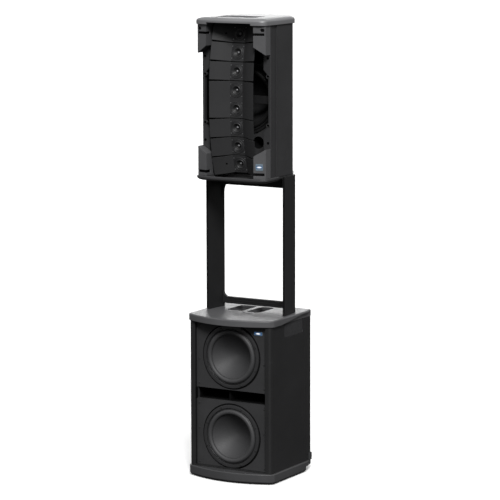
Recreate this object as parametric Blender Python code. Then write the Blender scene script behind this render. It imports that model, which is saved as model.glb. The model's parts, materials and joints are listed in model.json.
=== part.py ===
"""Portable column loudspeaker: a two-way array box on a U-shaped stand above a dual-woofer bass box.

Metres, +Z up, front faces -Y. The origin is on the floor at the centre of the whole object's box.
Depths below are measured back from the front edge of the bass box's side panels.
"""
import math

import bmesh
import bpy
from mathutils import Matrix, Vector

# ---------------------------------------------------------------- driving dimensions
GAP = 0.0003                   # clearance between touching pieces
ORIGIN_DEPTH = 0.170           # depth at which the part's origin lies

# bass box
SUB_HALF_WIDTH = 0.195
SUB_WALL = 0.027
SUB_CORNER = 0.020             # radius of the side panels' front edges
SUB_REAR = 0.338
SUB_CAP_HALF_WIDTH = 0.205
SUB_CAP_FRONT = -0.055
SUB_BOTTOM_CAP_TOP = 0.045
SUB_TOP_CAP_BOTTOM = 0.660
SUB_TOP = 0.688
SUB_BAFFLE_FRONT = 0.014
SUB_BAFFLE_THICKNESS = 0.018
SUB_SEAT_RADIUS, SUB_SEAT_DEPTH = 0.1385, 0.004  # step in the baffle that takes a woofer's flange
SLOT_HALF_WIDTH = 0.164
SLOT_BOTTOM, SLOT_TOP = 0.330, 0.379
SLOT_DIVIDER = (-0.022, -0.014)  # upright wall that splits the port in two
WOOFER_HEIGHTS = {"lower": 0.184, "upper": 0.520}
SUB_HOLE_RADIUS = 0.1165
GRIP_DEPTHS, GRIP_HEIGHTS, GRIP_RECESS = (0.113, 0.270), (0.600, 0.680), 0.003
GROOVE_DEPTHS, GROOVE_SIZE, GROOVE_RECESS = (0.284, 0.314), 0.003, 0.002
WELLS = {                      # sideways span, span in depth, and how far each sinks into the top
    "left": ((-0.110, -0.032), (0.155, 0.288), 0.018),
    "right": ((-0.011, 0.052), (0.152, 0.288), 0.022),
}
AMP_REAR = 0.395               # back of the heat sink, the deepest point of the bass box

# stand
BLADE_FRONT, BLADE_REAR = 0.129, 0.240
BLADE_OUTER_FRONT, BLADE_OUTER_REAR = 0.189, 0.176
BLADE_THICKNESS = 0.011
BLADE_BOTTOM, BLADE_TOP = 0.6283, 1.266
POCKET_BOTTOM = 0.628
POCKET_CLEARANCE = 0.0012
CROSSBAR_DEPTHS = (0.222, 0.237)
LOWER_CROSSBAR = (0.703, 0.731)
LOWER_FILLET = (0.022, 0.026)  # sideways and upright size of the crossbar's corners
UPPER_CROSSBAR = (1.207, 1.2457)
UPPER_FILLET = (0.014, -0.055)

# array box
BOX_HALF_WIDTH = 0.162
BOX_FRONT, BOX_REAR = 0.061, 0.345
BOX_WALL = 0.012
BOX_CHAMFER_DEPTH = 0.245      # where the sides start to slant inwards
BOX_REAR_HALF_WIDTH = 0.095
BOX_BOTTOM, BOX_TOP = 1.246, 1.919
BOX_PANEL_BOTTOM, BOX_PANEL_TOP = 1.267, 1.889
BOX_CAP_HALF_WIDTH = 0.167
BOX_BAFFLE_FRONT = 0.142
BOX_BAFFLE_THICKNESS = 0.015
BOX_MIDDLE = 1.582             # height of the array's and the woofer's centre
BOX_HOLE_RADIUS = 0.1365
PORT_RADIUS = 0.0255
PORT_X, PORT_OFFSETS = 0.0575, (-0.181, 0.168)  # either side of the middle; heights from BOX_MIDDLE
BOX_RECESS_DEPTHS, BOX_RECESS = (0.070, 0.112), 0.004  # upright recess along each side
STRIP_INNER, STRIP_REAR = 0.120, 0.074  # inward flange along each side's front edge
ARM_HALF_WIDTH = 0.1355        # arm behind the array's centre block
CAP_UNDERSIDE = 1.898          # underside of the top cap above the array
HANDLE_WELL = ((-0.092, 0.092), (0.050, 0.150), 1.9025)  # its last number is the floor's height
BRACKET_INNER, BRACKET_OUTER = 0.1115, 0.161
BRACKET_INNER_FRONT, BRACKET_OUTER_FRONT = 0.0055, 0.0215  # depths of the face's two upright edges

# array of small drivers
MODULE_PITCH = 0.0765
MODULE_CLEARANCE = 0.0022
FOLD_DEPTH = 0.072             # depth of the fold hinges
FOLD_ANGLE = math.radians(5.0)  # each hinge, folded back as at rest
FLARE_HALF_WIDTH, FLARE_FRONT = 0.1035, 0.016
THROAT_HALF_WIDTH, THROAT_DEPTH = 0.030, 0.060
MODULE_REAR = 0.090
DRIVER_RADIUS = 0.0262
DRIVER_HOLE_RADIUS = 0.0272

BOX_FIN_TIPS = 0.364           # back of the array box's heat sink
SOCKET_RADIUS = 0.0125

ROUND = 32                     # sides of a large turned piece
SMALL_ROUND = 20               # sides of a small turned piece


# ---------------------------------------------------------------- helpers
def at(x, depth, z):
    """A point from its sideways place, its depth and its height."""
    return Vector((x, depth - ORIGIN_DEPTH, z))


def make_material(name, colour, roughness, metallic=0.0):
    material = bpy.data.materials.new(name)
    material.use_nodes = True
    shader = material.node_tree.nodes["Principled BSDF"]
    shader.inputs["Base Color"].default_value = (*colour, 1.0)
    shader.inputs["Roughness"].default_value = roughness
    shader.inputs["Metallic"].default_value = metallic
    return material


def add_object(name, bm, look, smooth=False, place=Matrix.Identity(4)):
    """Turn a bmesh into a named object with its own material, its origin at place."""
    bmesh.ops.remove_doubles(bm, verts=bm.verts, dist=1e-6)
    bmesh.ops.recalc_face_normals(bm, faces=bm.faces)
    mesh = bpy.data.meshes.new(name)
    bm.to_mesh(mesh)
    bm.free()
    if smooth:
        mesh.shade_smooth()
        mesh.set_sharp_from_angle(angle=math.radians(35))
    mesh.materials.append(make_material(name, *look))
    item = bpy.data.objects.new(name, mesh)
    item.matrix_world = place
    bpy.context.scene.collection.objects.link(item)
    return item


def add_loops(bm, loops):
    """Skin a row of closed loops, point by point, and close both ends."""
    rings = [[bm.verts.new(point) for point in loop] for loop in loops]
    for first, second in zip(rings, rings[1:]):
        for index in range(len(first)):
            following = (index + 1) % len(first)
            bm.faces.new((first[index], first[following], second[following], second[index]))
    bm.faces.new(rings[0])
    bm.faces.new(rings[-1])


def loft(name, loops, look):
    bm = bmesh.new()
    add_loops(bm, loops)
    return add_object(name, bm, look)


def plan(outline, z):
    """A loop at height z from (x, depth) pairs."""
    return [at(x, depth, z) for x, depth in outline]


def face_on(outline, depth):
    """A loop at one depth from (x, z) pairs."""
    return [at(x, depth, z) for x, z in outline]


def rectangle(x0, x1, y0, y1):
    return [(x0, y0), (x1, y0), (x1, y1), (x0, y1)]


def block(name, x, depth, z, look):
    """A plain block from three (low, high) pairs."""
    outline = rectangle(*x, *depth)
    return loft(name, [plan(outline, z[0]), plan(outline, z[1])], look)


def mirrored(half):
    """Close an outline given as its right half, from front to back."""
    return half + [(-x, y) for x, y in reversed(half) if abs(x) > 1e-9]


def turned_mesh(bm, profile, sides, centre, axis="Y"):
    """Turn a closed (radius, distance) profile about an axis through centre.

    Distance runs along +Y, or along +Z for axis "Z". Points on the axis become one vertex.
    """
    rings = []
    for radius, distance in profile:
        count = 1 if radius < 1e-9 else sides
        ring = []
        for step in range(count):
            angle = 2 * math.pi * (step + 0.5) / sides
            sideways = radius * math.cos(angle)
            other = radius * math.sin(angle)
            offset = (sideways, distance, other) if axis == "Y" else (sideways, other, distance)
            ring.append(bm.verts.new(centre + Vector(offset)))
        rings.append(ring)
    for first, second in zip(rings, rings[1:] + rings[:1]):
        if len(first) == 1 and len(second) == 1:
            continue
        for step in range(sides):
            following = (step + 1) % sides
            corners = [first[step % len(first)], first[following % len(first)],
                       second[following % len(second)], second[step % len(second)]]
            unique = list(dict.fromkeys(corners))
            bm.faces.new(unique)


def turned(name, profile, centre, look, sides=ROUND):
    """A turned piece whose origin is at centre, its axis along Y."""
    bm = bmesh.new()
    turned_mesh(bm, profile, sides, Vector((0, 0, 0)))
    return add_object(name, bm, look, smooth=True, place=Matrix.Translation(centre))


def boolean(target, cutter, operation="DIFFERENCE"):
    """Cut or join one object with another, which is then only a guide."""
    cutter.hide_render = True
    cutter.display_type = "WIRE"
    modifier = target.modifiers.new(cutter.name, "BOOLEAN")
    modifier.object = cutter
    modifier.operation = operation
    modifier.solver = "EXACT"


def cut_block(target, name, x, depth, z):
    boolean(target, block("cut_" + name, x, depth, z, CUTTER))


def cut_round(target, name, centre, radius, length, sides=ROUND):
    """Cut a round hole along Y, its middle at centre."""
    half = length / 2
    profile = [(0, -half), (radius, -half), (radius, half), (0, half)]
    boolean(target, turned("cut_" + name, profile, centre, CUTTER, sides))


def arc(centre, radius, start, end, steps):
    """Points on an arc, angles in degrees."""
    points = []
    for step in range(steps + 1):
        angle = math.radians(start + (end - start) * step / steps)
        points.append((centre[0] + radius * math.cos(angle), centre[1] + radius * math.sin(angle)))
    return points


# ---------------------------------------------------------------- looks: colour, roughness, metallic
CUTTER = ((0.5, 0.5, 0.5), 0.5)
BOX_PAINT = ((0.020, 0.020, 0.021), 0.62)
MOULDED = ((0.045, 0.045, 0.047), 0.50)
SMOOTH_PLASTIC = ((0.030, 0.030, 0.032), 0.42)
BAFFLE_PAINT = ((0.022, 0.022, 0.023), 0.60)
CONE = ((0.035, 0.035, 0.036), 0.70)
RUBBER = ((0.014, 0.014, 0.014), 0.55)
BASKET = ((0.025, 0.025, 0.026), 0.45, 0.3)
MAGNET = ((0.08, 0.08, 0.085), 0.40, 0.8)
STAND_PAINT = ((0.018, 0.018, 0.019), 0.50)
PANEL = ((0.030, 0.030, 0.031), 0.45, 0.5)
KNOB = ((0.020, 0.020, 0.020), 0.35)
LENS = ((0.55, 0.75, 0.90), 0.15)


# ---------------------------------------------------------------- outlines
def sub_cap_outline(front, corner_depth, inset=0.0):
    """Plan of a bass box cap: a bowed front, round front corners and cut-off rear corners."""
    width = SUB_CAP_HALF_WIDTH - inset
    bow_end = width - 0.008
    half = []
    steps = 6
    for step in range(steps + 1):
        x = bow_end * step / steps
        half.append((x, front + inset + (corner_depth - front) * (x / bow_end) ** 2))
    half += [(width, corner_depth + 0.014 + inset), (width, 0.290),
             (width - 0.012, SUB_REAR + 0.006 - inset)]
    return mirrored(half)


def box_cap_outline(inset=0.0, waist=0.0):
    """Plan of an array box cap: shallow front, slanted rear corners, drawn in by waist beside the stand."""
    width = BOX_CAP_HALF_WIDTH - inset
    front = -0.008 + inset
    rear = 0.361 - inset
    waist_width = width - waist
    half = [(0.0, front), (0.055, front + 0.001), (0.110, front + 0.004), (0.150, front + 0.012),
            (width - 0.002, front + 0.026), (width, front + 0.034), (width, 0.122), (waist_width, 0.126),
            (waist_width, 0.252), (0.104 - inset * 0.6, rear - 0.008), (0.094 - inset * 0.6, rear), (0.0, rear)]
    return mirrored(half)


def blade_outline(side, clearance=0.0):
    """Plan of one stand upright, which leans inwards towards the back."""
    front = BLADE_FRONT - clearance
    rear = BLADE_REAR + clearance
    slope = (BLADE_OUTER_FRONT - BLADE_OUTER_REAR) / (BLADE_REAR - BLADE_FRONT)
    outer_front = BLADE_OUTER_FRONT + slope * clearance + clearance
    outer_rear = BLADE_OUTER_REAR - slope * clearance + clearance
    thickness = BLADE_THICKNESS + 2 * clearance
    corners = [(outer_front, front), (outer_rear, rear),
               (outer_rear - thickness, rear), (outer_front - thickness, front)]
    return [(side * x, depth) for x, depth in corners]


# ---------------------------------------------------------------- woofers
def woofer(prefix, centre, flange_radius, hole_radius, cone_radius, depth, magnet_radius, seat=0.0):
    """A cone loudspeaker facing -Y: frame, rubber surround, cone and magnet.

    Centre lies on the baffle's face; seat is the depth of the step that holds the flange.
    """
    rim = hole_radius - 0.001
    neck = magnet_radius * 0.62
    frame_profile = [
        (flange_radius, seat - GAP), (flange_radius, -0.004), (flange_radius - 0.003, -0.006),
        (cone_radius + 0.021, -0.006), (cone_radius + 0.021, 0.001), (cone_radius + 0.010, 0.010),
        (neck + 0.006, depth - 0.006), (neck - 0.012, depth - 0.006), (neck - 0.012, depth),
        (neck + 0.012, depth), (rim, 0.018), (rim, seat - GAP)]
    turned(prefix + "_frame", frame_profile, centre, BASKET)
    roll_inner = cone_radius + 0.0006
    roll_outer = cone_radius + 0.0206
    middle = (roll_inner + roll_outer) / 2
    radius = (roll_outer - roll_inner) / 2
    roll = arc((middle, -0.001), radius, 0, -180, 6)
    under = arc((middle, -0.001), radius - 0.0014, -180, 0, 6)
    turned(prefix + "_surround", roll + under, centre, RUBBER)
    bowl = cone_radius * 0.42
    cone_profile = [
        (cone_radius, -0.002), (cone_radius, 0.0), (cone_radius * 0.72, depth * 0.30),
        (bowl, depth * 0.52), (bowl * 0.5, depth * 0.60), (0.0, depth * 0.62),
        (0.0, depth * 0.62 - 0.002), (bowl * 0.5, depth * 0.60 - 0.002), (bowl, depth * 0.52 - 0.002),
        (cone_radius * 0.72, depth * 0.30 - 0.002)]
    turned(prefix + "_cone", cone_profile, centre, CONE)
    back = depth + GAP
    magnet_profile = [
        (0.0, back), (magnet_radius * 0.8, back), (magnet_radius, back + 0.006),
        (magnet_radius, back + 0.040), (magnet_radius * 0.8, back + 0.046), (0.0, back + 0.046)]
    turned(prefix + "_magnet", magnet_profile, centre, MAGNET)


# ---------------------------------------------------------------- bass box
def sub_cabinet():
    low = SUB_BOTTOM_CAP_TOP + GAP
    high = SUB_TOP_CAP_BOTTOM - GAP
    edge = arc((SUB_HALF_WIDTH - SUB_CORNER, SUB_CORNER), SUB_CORNER, -90, 0, 5) + [(SUB_HALF_WIDTH, SUB_REAR)]
    outline = edge + [(-x, y) for x, y in reversed(edge)]
    cabinet = loft("sub_cabinet", [plan(outline, low), plan(outline, high)], BOX_PAINT)
    inner = SUB_HALF_WIDTH - SUB_WALL
    cut_block(cabinet, "sub_front_space", (-inner, inner), (-0.01, 0.115), (low + 0.005, high - 0.007))
    cut_block(cabinet, "sub_rear_space", (-inner, inner), (0.110, SUB_REAR - 0.018),
              (low + 0.017, POCKET_BOTTOM - 0.008))
    depth = (SUB_REAR - 0.03, SUB_REAR + 0.01)
    cut_block(cabinet, "sub_amp_opening", (-0.105, 0.105), depth, (0.120, 0.560))
    for side, word in ((-1, "left"), (1, "right")):
        outline = blade_outline(side, POCKET_CLEARANCE)
        loops = [plan(outline, POCKET_BOTTOM), plan(outline, SUB_TOP)]
        boolean(cabinet, loft("cut_stand_pocket_" + word, loops, CUTTER))
        outside = SUB_HALF_WIDTH + 0.01
        grip = sorted((side * outside, side * (SUB_HALF_WIDTH - GRIP_RECESS)))
        cut_block(cabinet, "sub_grip_" + word, grip, GRIP_DEPTHS, GRIP_HEIGHTS)
        groove = sorted((side * outside, side * (SUB_HALF_WIDTH - GROOVE_RECESS)))
        for number, depth in enumerate(GROOVE_DEPTHS):
            cut_block(cabinet, f"sub_groove_{word}_{number}", groove, (depth, depth + GROOVE_SIZE),
                      (low - 0.01, high + 0.01))


def sub_baffle():
    inner = SUB_HALF_WIDTH - SUB_WALL - GAP
    depth = (SUB_BAFFLE_FRONT, SUB_BAFFLE_FRONT + SUB_BAFFLE_THICKNESS)
    height = (SUB_BOTTOM_CAP_TOP + 0.005 + 2 * GAP, SUB_TOP_CAP_BOTTOM - 0.007 - 2 * GAP)
    baffle = block("sub_baffle", (-inner, inner), depth, height, BAFFLE_PAINT)
    slot = (-SLOT_HALF_WIDTH, SLOT_HALF_WIDTH)
    cut_block(baffle, "sub_slot", slot, (0.0, 0.05), (SLOT_BOTTOM, SLOT_TOP))
    for word, z in WOOFER_HEIGHTS.items():
        centre = at(0, SUB_BAFFLE_FRONT, z)
        cut_round(baffle, "sub_hole_" + word, centre, SUB_HOLE_RADIUS, 0.06)
        cut_round(baffle, "sub_seat_" + word, centre, SUB_SEAT_RADIUS, 2 * SUB_SEAT_DEPTH)


def sub_port_duct():
    wall = 0.009
    front = SUB_BAFFLE_FRONT + SUB_BAFFLE_THICKNESS + GAP
    outside = SUB_HALF_WIDTH - SUB_WALL - GAP
    half = SLOT_HALF_WIDTH
    duct = block("sub_port_duct", (-outside, outside), (front, 0.200),
                 (SLOT_BOTTOM - wall, SLOT_TOP + wall), BAFFLE_PAINT)
    cut_block(duct, "port_left", (-half, SLOT_DIVIDER[0]), (0.0, 0.25), (SLOT_BOTTOM, SLOT_TOP))
    cut_block(duct, "port_right", (SLOT_DIVIDER[1], half), (0.0, 0.25), (SLOT_BOTTOM, SLOT_TOP))


def sub_top_cap():
    lip = sub_cap_outline(SUB_CAP_FRONT, 0.0)
    shoulder = sub_cap_outline(SUB_CAP_FRONT, 0.0, 0.004)
    loops = [plan(lip, SUB_TOP_CAP_BOTTOM), plan(lip, SUB_TOP - 0.005), plan(shoulder, SUB_TOP)]
    cap = loft("sub_top_cap", loops, MOULDED)
    for side, word in ((-1, "left"), (1, "right")):
        boolean(cap, bpy.data.objects["cut_stand_pocket_" + word])
        skirt = [(side * (SUB_HALF_WIDTH + GAP), 0.050, SUB_TOP_CAP_BOTTOM - 0.002),
                 (side * (SUB_HALF_WIDTH + GAP), 0.360, SUB_TOP_CAP_BOTTOM - 0.002),
                 (side * (SUB_HALF_WIDTH + GAP), 0.360, SUB_TOP - 0.008),
                 (side * (SUB_HALF_WIDTH + GAP), 0.250, SUB_TOP - 0.008)]
        near = [at(*point) for point in skirt]
        far = [point + Vector((side * 0.02, 0, 0)) for point in near]
        boolean(cap, loft("cut_skirt_" + word, [near, far], CUTTER))
    for word, (x, depth, sink) in WELLS.items():
        cut_block(cap, "well_" + word, x, depth, (SUB_TOP - sink, SUB_TOP + 0.01))


def sub_bottom_cap():
    low_front = sub_cap_outline(-0.030, 0.012, 0.008)
    full = sub_cap_outline(SUB_CAP_FRONT + 0.008, 0.0)
    loops = [plan(low_front, 0.0), plan(full, 0.012), plan(full, SUB_BOTTOM_CAP_TOP - 0.002),
             plan(sub_cap_outline(SUB_CAP_FRONT + 0.008, 0.0, 0.003), SUB_BOTTOM_CAP_TOP)]
    cap = loft("sub_bottom_cap", loops, MOULDED)
    cut_block(cap, "rear_step", (-0.25, 0.25), (0.282, 0.42), (-0.01, 0.025))


def sub_amplifier():
    panel_depth = (SUB_REAR + GAP, SUB_REAR + 0.004)
    panel = block("sub_amp_panel", (-0.128, 0.128), panel_depth, (0.105, 0.575), PANEL)
    cut_block(panel, "sub_inlet_hole", (0.055, 0.085), (0.3, 0.4), (0.135, 0.160))
    face = SUB_REAR + 0.004 + GAP
    bm = bmesh.new()
    outline = fin_outline(13, 0.1185, 0.0066, face, face + 0.006, AMP_REAR)
    add_loops(bm, [plan(outline, 0.330), plan(outline, 0.560)])
    add_object("sub_heat_sink", bm, PANEL)
    block_depth = (face, face + 0.012)
    connector = block("sub_connector_block", (-0.110, 0.030), block_depth, (0.190, 0.300), SMOOTH_PLASTIC)
    for column, x in enumerate((-0.082, -0.040)):
        for row, z in enumerate((0.222, 0.268)):
            centre = at(x, face + 0.012, z)
            cut_round(connector, f"sub_socket_{column}_{row}", centre, SOCKET_RADIUS, 0.018, SMALL_ROUND)
    inlet = block("sub_power_inlet", (0.046, 0.094), (face, face + 0.010), (0.126, 0.169), SMOOTH_PLASTIC)
    cut_block(inlet, "sub_inlet_recess", (0.053, 0.087), (face + 0.002, face + 0.02), (0.132, 0.163))
    knob("sub_volume_knob", at(0.062, face, 0.268), 0.011)
    button("sub_polarity_button", at(0.008, face + 0.012, 0.245))
    rocker("sub_power_rocker", at(0.070, face + 0.003, 0.205))


# ---------------------------------------------------------------- amplifier details, shared by both boxes
def fin_outline(count, half, thickness, face, root, tips):
    """Plan of a heat sink: a plate with a row of fins that starts and ends at its two edges."""
    pitch = (2 * half - thickness) / (count - 1)
    teeth = [(-half, face), (half, face)]
    for fin in reversed(range(count)):
        x = -half + fin * pitch
        teeth += [(x + thickness, root), (x + thickness, tips), (x, tips), (x, root)]
    return teeth


def knob(name, centre, radius):
    """A round knob whose axis runs along Y."""
    profile = [(0.0, GAP), (radius, GAP), (radius, 0.010), (radius - 0.002, 0.014), (0.0, 0.014)]
    turned(name, profile, centre, KNOB, SMALL_ROUND)


def button(name, centre):
    """A push button that slides along Y; centre lies on the face that it stands on."""
    profile = [(0.0, 0.003), (0.0045, 0.003), (0.0045, 0.0072), (0.0038, 0.008), (0.0, 0.008)]
    turned(name, profile, centre, KNOB, SMALL_ROUND)


def rocker(name, centre):
    """A rocker switch that tilts about the X axis through its middle."""
    half = 0.0075
    height = 0.0125
    outline = [(-height, 0.0), (height, 0.0), (height, 0.0065), (0.0, 0.0035), (-height, 0.0045)]
    loops = []
    for x in (-half, half):
        loops.append([Vector((x, depth, z)) for z, depth in outline])
    bm = bmesh.new()
    add_loops(bm, loops)
    add_object(name, bm, KNOB, place=Matrix.Translation(centre))


# ---------------------------------------------------------------- stand
def stand():
    for side, word in ((-1, "left"), (1, "right")):
        outline = blade_outline(side)
        loft(f"stand_{word}_upright", [plan(outline, BLADE_BOTTOM), plan(outline, BLADE_TOP)], STAND_PAINT)
    crossbar("stand_lower_crossbar", *LOWER_CROSSBAR, LOWER_FILLET)
    crossbar("stand_upper_crossbar", *reversed(UPPER_CROSSBAR), UPPER_FILLET)


def crossbar(name, flat_edge, filleted_edge, fillet):
    """A bar between the uprights, with hollow-curved corners along one edge."""
    slope = (BLADE_OUTER_FRONT - BLADE_OUTER_REAR) / (BLADE_REAR - BLADE_FRONT)
    half = BLADE_OUTER_FRONT - BLADE_THICKNESS - slope * (CROSSBAR_DEPTHS[1] - BLADE_FRONT) - 2 * GAP
    wide, tall = fillet
    corner = []
    for x, z in arc((0.0, 0.0), 1.0, 0, 90, 5):
        corner.append((half - wide + wide * x, filleted_edge + tall * (1.0 - z)))
    outline = [(-x, z) for x, z in reversed(corner)] + [(-half, flat_edge), (half, flat_edge)] + corner
    loft(name, [face_on(outline, depth) for depth in CROSSBAR_DEPTHS], STAND_PAINT)


# ---------------------------------------------------------------- array box
def box_cabinet():
    """Side walls, slanted rear corners and back in one bent shell, open at the front."""
    recess_front, recess_rear = BOX_RECESS_DEPTHS
    recessed = BOX_HALF_WIDTH - BOX_RECESS
    inside = BOX_HALF_WIDTH - BOX_WALL
    outer = [(BOX_HALF_WIDTH, BOX_FRONT), (BOX_HALF_WIDTH, recess_front), (recessed, recess_front),
             (recessed, recess_rear), (BOX_HALF_WIDTH, recess_rear),
             (BOX_HALF_WIDTH, BOX_CHAMFER_DEPTH), (BOX_REAR_HALF_WIDTH, BOX_REAR)]
    inner = [(BOX_REAR_HALF_WIDTH - 0.006, BOX_REAR - BOX_WALL), (inside, BOX_CHAMFER_DEPTH - 0.004),
             (inside, STRIP_REAR), (STRIP_INNER, STRIP_REAR), (STRIP_INNER, BOX_FRONT)]
    outline = outer + [(-x, y) for x, y in reversed(outer)] + [(-x, y) for x, y in reversed(inner)] + inner
    low = BOX_PANEL_BOTTOM + GAP
    high = BOX_PANEL_TOP - GAP
    cabinet = loft("speaker_cabinet", [plan(outline, low), plan(outline, high)], BOX_PAINT)
    notch = ((0.114, -0.1434), (0.114, 0.1434), (0.151, 0.102), (0.151, -0.102))
    for side, word in ((-1, "left"), (1, "right")):
        outline = [(side * x, BOX_MIDDLE + z) for x, z in notch]
        loops = [face_on(outline, 0.050), face_on(outline, 0.075)]
        boolean(cabinet, loft("cut_strip_" + word, loops, CUTTER))
    depth = (BOX_REAR - 0.03, BOX_REAR + 0.01)
    cut_block(cabinet, "box_amp_opening", (-0.070, 0.070), depth, (1.330, 1.830))


def box_top_cap():
    loops = [plan(box_cap_outline(), BOX_PANEL_TOP), plan(box_cap_outline(), 1.908),
             plan(box_cap_outline(0.018), 1.9165), plan(box_cap_outline(0.055), BOX_TOP)]
    cap = loft("speaker_top_cap", loops, MOULDED)
    cut_block(cap, "array_headroom", (-0.104, 0.104), (-0.03, 0.130), (BOX_PANEL_TOP - 0.01, CAP_UNDERSIDE))
    side, depth, floor = HANDLE_WELL
    cut_block(cap, "handle_well", side, depth, (floor, BOX_TOP + 0.01))


def box_bottom_cap():
    waist = 0.0075
    loops = [plan(box_cap_outline(0.030, waist), BOX_BOTTOM), plan(box_cap_outline(0.006, waist), 1.251),
             plan(box_cap_outline(0.0, waist), 1.258), plan(box_cap_outline(0.0, waist), BOX_PANEL_BOTTOM)]
    cap = loft("speaker_bottom_cap", loops, MOULDED)
    cut_block(cap, "array_footroom", (-0.112, 0.112), (0.004, 0.130), (1.2540, 1.290))


def box_baffle():
    inner = BOX_HALF_WIDTH - BOX_WALL - GAP
    depth = (BOX_BAFFLE_FRONT, BOX_BAFFLE_FRONT + BOX_BAFFLE_THICKNESS)
    height = (BOX_PANEL_BOTTOM + 2 * GAP, BOX_PANEL_TOP - 2 * GAP)
    baffle = block("speaker_baffle", (-inner, inner), depth, height, BAFFLE_PAINT)
    cut_round(baffle, "box_woofer_hole", at(0, BOX_BAFFLE_FRONT, BOX_MIDDLE), BOX_HOLE_RADIUS, 0.06)
    for row, offset in zip(("lower", "upper"), PORT_OFFSETS):
        for side, word in ((-1, "left"), (1, "right")):
            centre = at(side * PORT_X, BOX_BAFFLE_FRONT, BOX_MIDDLE + offset)
            cut_round(baffle, f"box_port_{row}_{word}", centre, PORT_RADIUS, 0.06, SMALL_ROUND)


def bracket_face(x):
    """Depth of a bracket's face at a distance x from the middle; it falls back towards the box's side."""
    share = (x - BRACKET_INNER) / (BRACKET_OUTER - BRACKET_INNER)
    return BRACKET_INNER_FRONT + share * (BRACKET_OUTER_FRONT - BRACKET_INNER_FRONT)


def bracket(name, side, upper):
    """A corner shell that carries the grille: a plate with a slanted edge and turned-back sides."""
    end = BOX_PANEL_TOP - GAP if upper else BOX_PANEL_BOTTOM + GAP
    inner_edge = 1.802 if upper else 1.359
    outer_edge = 1.770 if upper else 1.388
    wall = 0.004
    shift = -wall if upper else wall
    rim = [(BRACKET_INNER, end), (BRACKET_OUTER, end),
           (BRACKET_OUTER, outer_edge), (BRACKET_INNER, inner_edge)]
    hollow = [(BRACKET_INNER + wall, end + shift), (BRACKET_OUTER - wall, end + shift),
              (BRACKET_OUTER - wall, outer_edge - shift * 1.3),
              (BRACKET_INNER + wall, inner_edge - shift * 1.3)]
    rear = BOX_FRONT - GAP
    loops = [
        [at(side * x, bracket_face(x), z) for x, z in rim],
        [at(side * x, rear, z) for x, z in rim],
        [at(side * x, rear, z) for x, z in hollow],
        [at(side * x, bracket_face(x) + wall, z) for x, z in hollow]]
    loft(name, loops, MOULDED)


def module_outline(rear=MODULE_REAR):
    """Plan of the array: flared walls that meet the throat, with a box behind for the driver."""
    half = [(THROAT_HALF_WIDTH, THROAT_DEPTH), (FLARE_HALF_WIDTH, FLARE_FRONT),
            (FLARE_HALF_WIDTH, FLARE_FRONT + 0.005), (0.038, THROAT_DEPTH + 0.003),
            (0.034, THROAT_DEPTH + 0.010), (0.034, rear)]
    return half + [(-x, y) for x, y in reversed(half)]


def driver(name, parent, z):
    """A small full-range driver: ring, cone, dust dome and magnet as one turned unit facing -Y."""
    radius = DRIVER_RADIUS
    profile = [
        (0.0, -0.0010), (0.007, 0.0010), (0.0085, 0.0045), (0.020, 0.0010), (0.022, -0.0010),
        (radius, -0.0010), (radius, 0.010), (0.018, 0.014), (0.018, 0.029), (0.0, 0.029)]
    item = turned(name, profile, Vector((0, 0, 0)), CONE, SMALL_ROUND)
    item.parent = parent
    item.location = (0, THROAT_DEPTH - FOLD_DEPTH, z)


def pivot(name, parent, place, turn):
    """An empty on a fold hinge's axis, which runs along X."""
    item = bpy.data.objects.new(name, None)
    bpy.context.scene.collection.objects.link(item)
    item.parent = parent
    item.location = place
    item.rotation_euler = (turn, 0, 0)
    return item


def array():
    """The centre block and the two folding halves, each of three coupled modules."""
    middle = pivot("array_middle", None, at(0, FOLD_DEPTH, BOX_MIDDLE), 0.0)
    half_block = MODULE_PITCH - MODULE_CLEARANCE / 2
    outline = module_outline(0.112)
    loops = [plan(outline, BOX_MIDDLE - half_block), plan(outline, BOX_MIDDLE + half_block)]
    centre = loft("array_centre_block", loops, SMOOTH_PLASTIC)
    # the arm carries the block just behind the box's two upright strips
    sides = (-ARM_HALF_WIDTH, ARM_HALF_WIDTH)
    height = (BOX_MIDDLE - 0.016, BOX_MIDDLE + 0.016)
    boolean(centre, block("guide_array_arm", sides, (0.100, 0.1115), height, CUTTER), "UNION")
    for number, z in ((4, MODULE_PITCH / 2), (5, -MODULE_PITCH / 2)):
        hole_centre = at(0, THROAT_DEPTH, BOX_MIDDLE + z)
        cut_round(centre, f"driver_hole_{number}", hole_centre, DRIVER_HOLE_RADIUS, 0.080, SMALL_ROUND)
        driver(f"array_driver_{number}", middle, z)
    half_module = (MODULE_PITCH - MODULE_CLEARANCE) / 2
    for sign, numbers in ((1, (3, 2, 1)), (-1, (6, 7, 8))):
        parent = middle
        for number in numbers:
            parent = pivot(f"fold_{number}", parent, (0, 0, sign * MODULE_PITCH), -sign * FOLD_ANGLE)
            # the module's middle is half a pitch beyond its own hinge
            z = sign * MODULE_PITCH / 2
            loops = []
            for end in (-half_module, half_module):
                loops.append([Vector((x, depth - FOLD_DEPTH, z + end)) for x, depth in module_outline()])
            module = loft(f"array_module_{number}", loops, SMOOTH_PLASTIC)
            module.parent = parent
            hole_centre = Vector((0, THROAT_DEPTH - FOLD_DEPTH, z))
            cut_round(module, f"driver_hole_{number}", hole_centre, DRIVER_HOLE_RADIUS, 0.090, SMALL_ROUND)
            bpy.data.objects[f"cut_driver_hole_{number}"].parent = parent
            driver(f"array_driver_{number}", parent, z)


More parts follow.
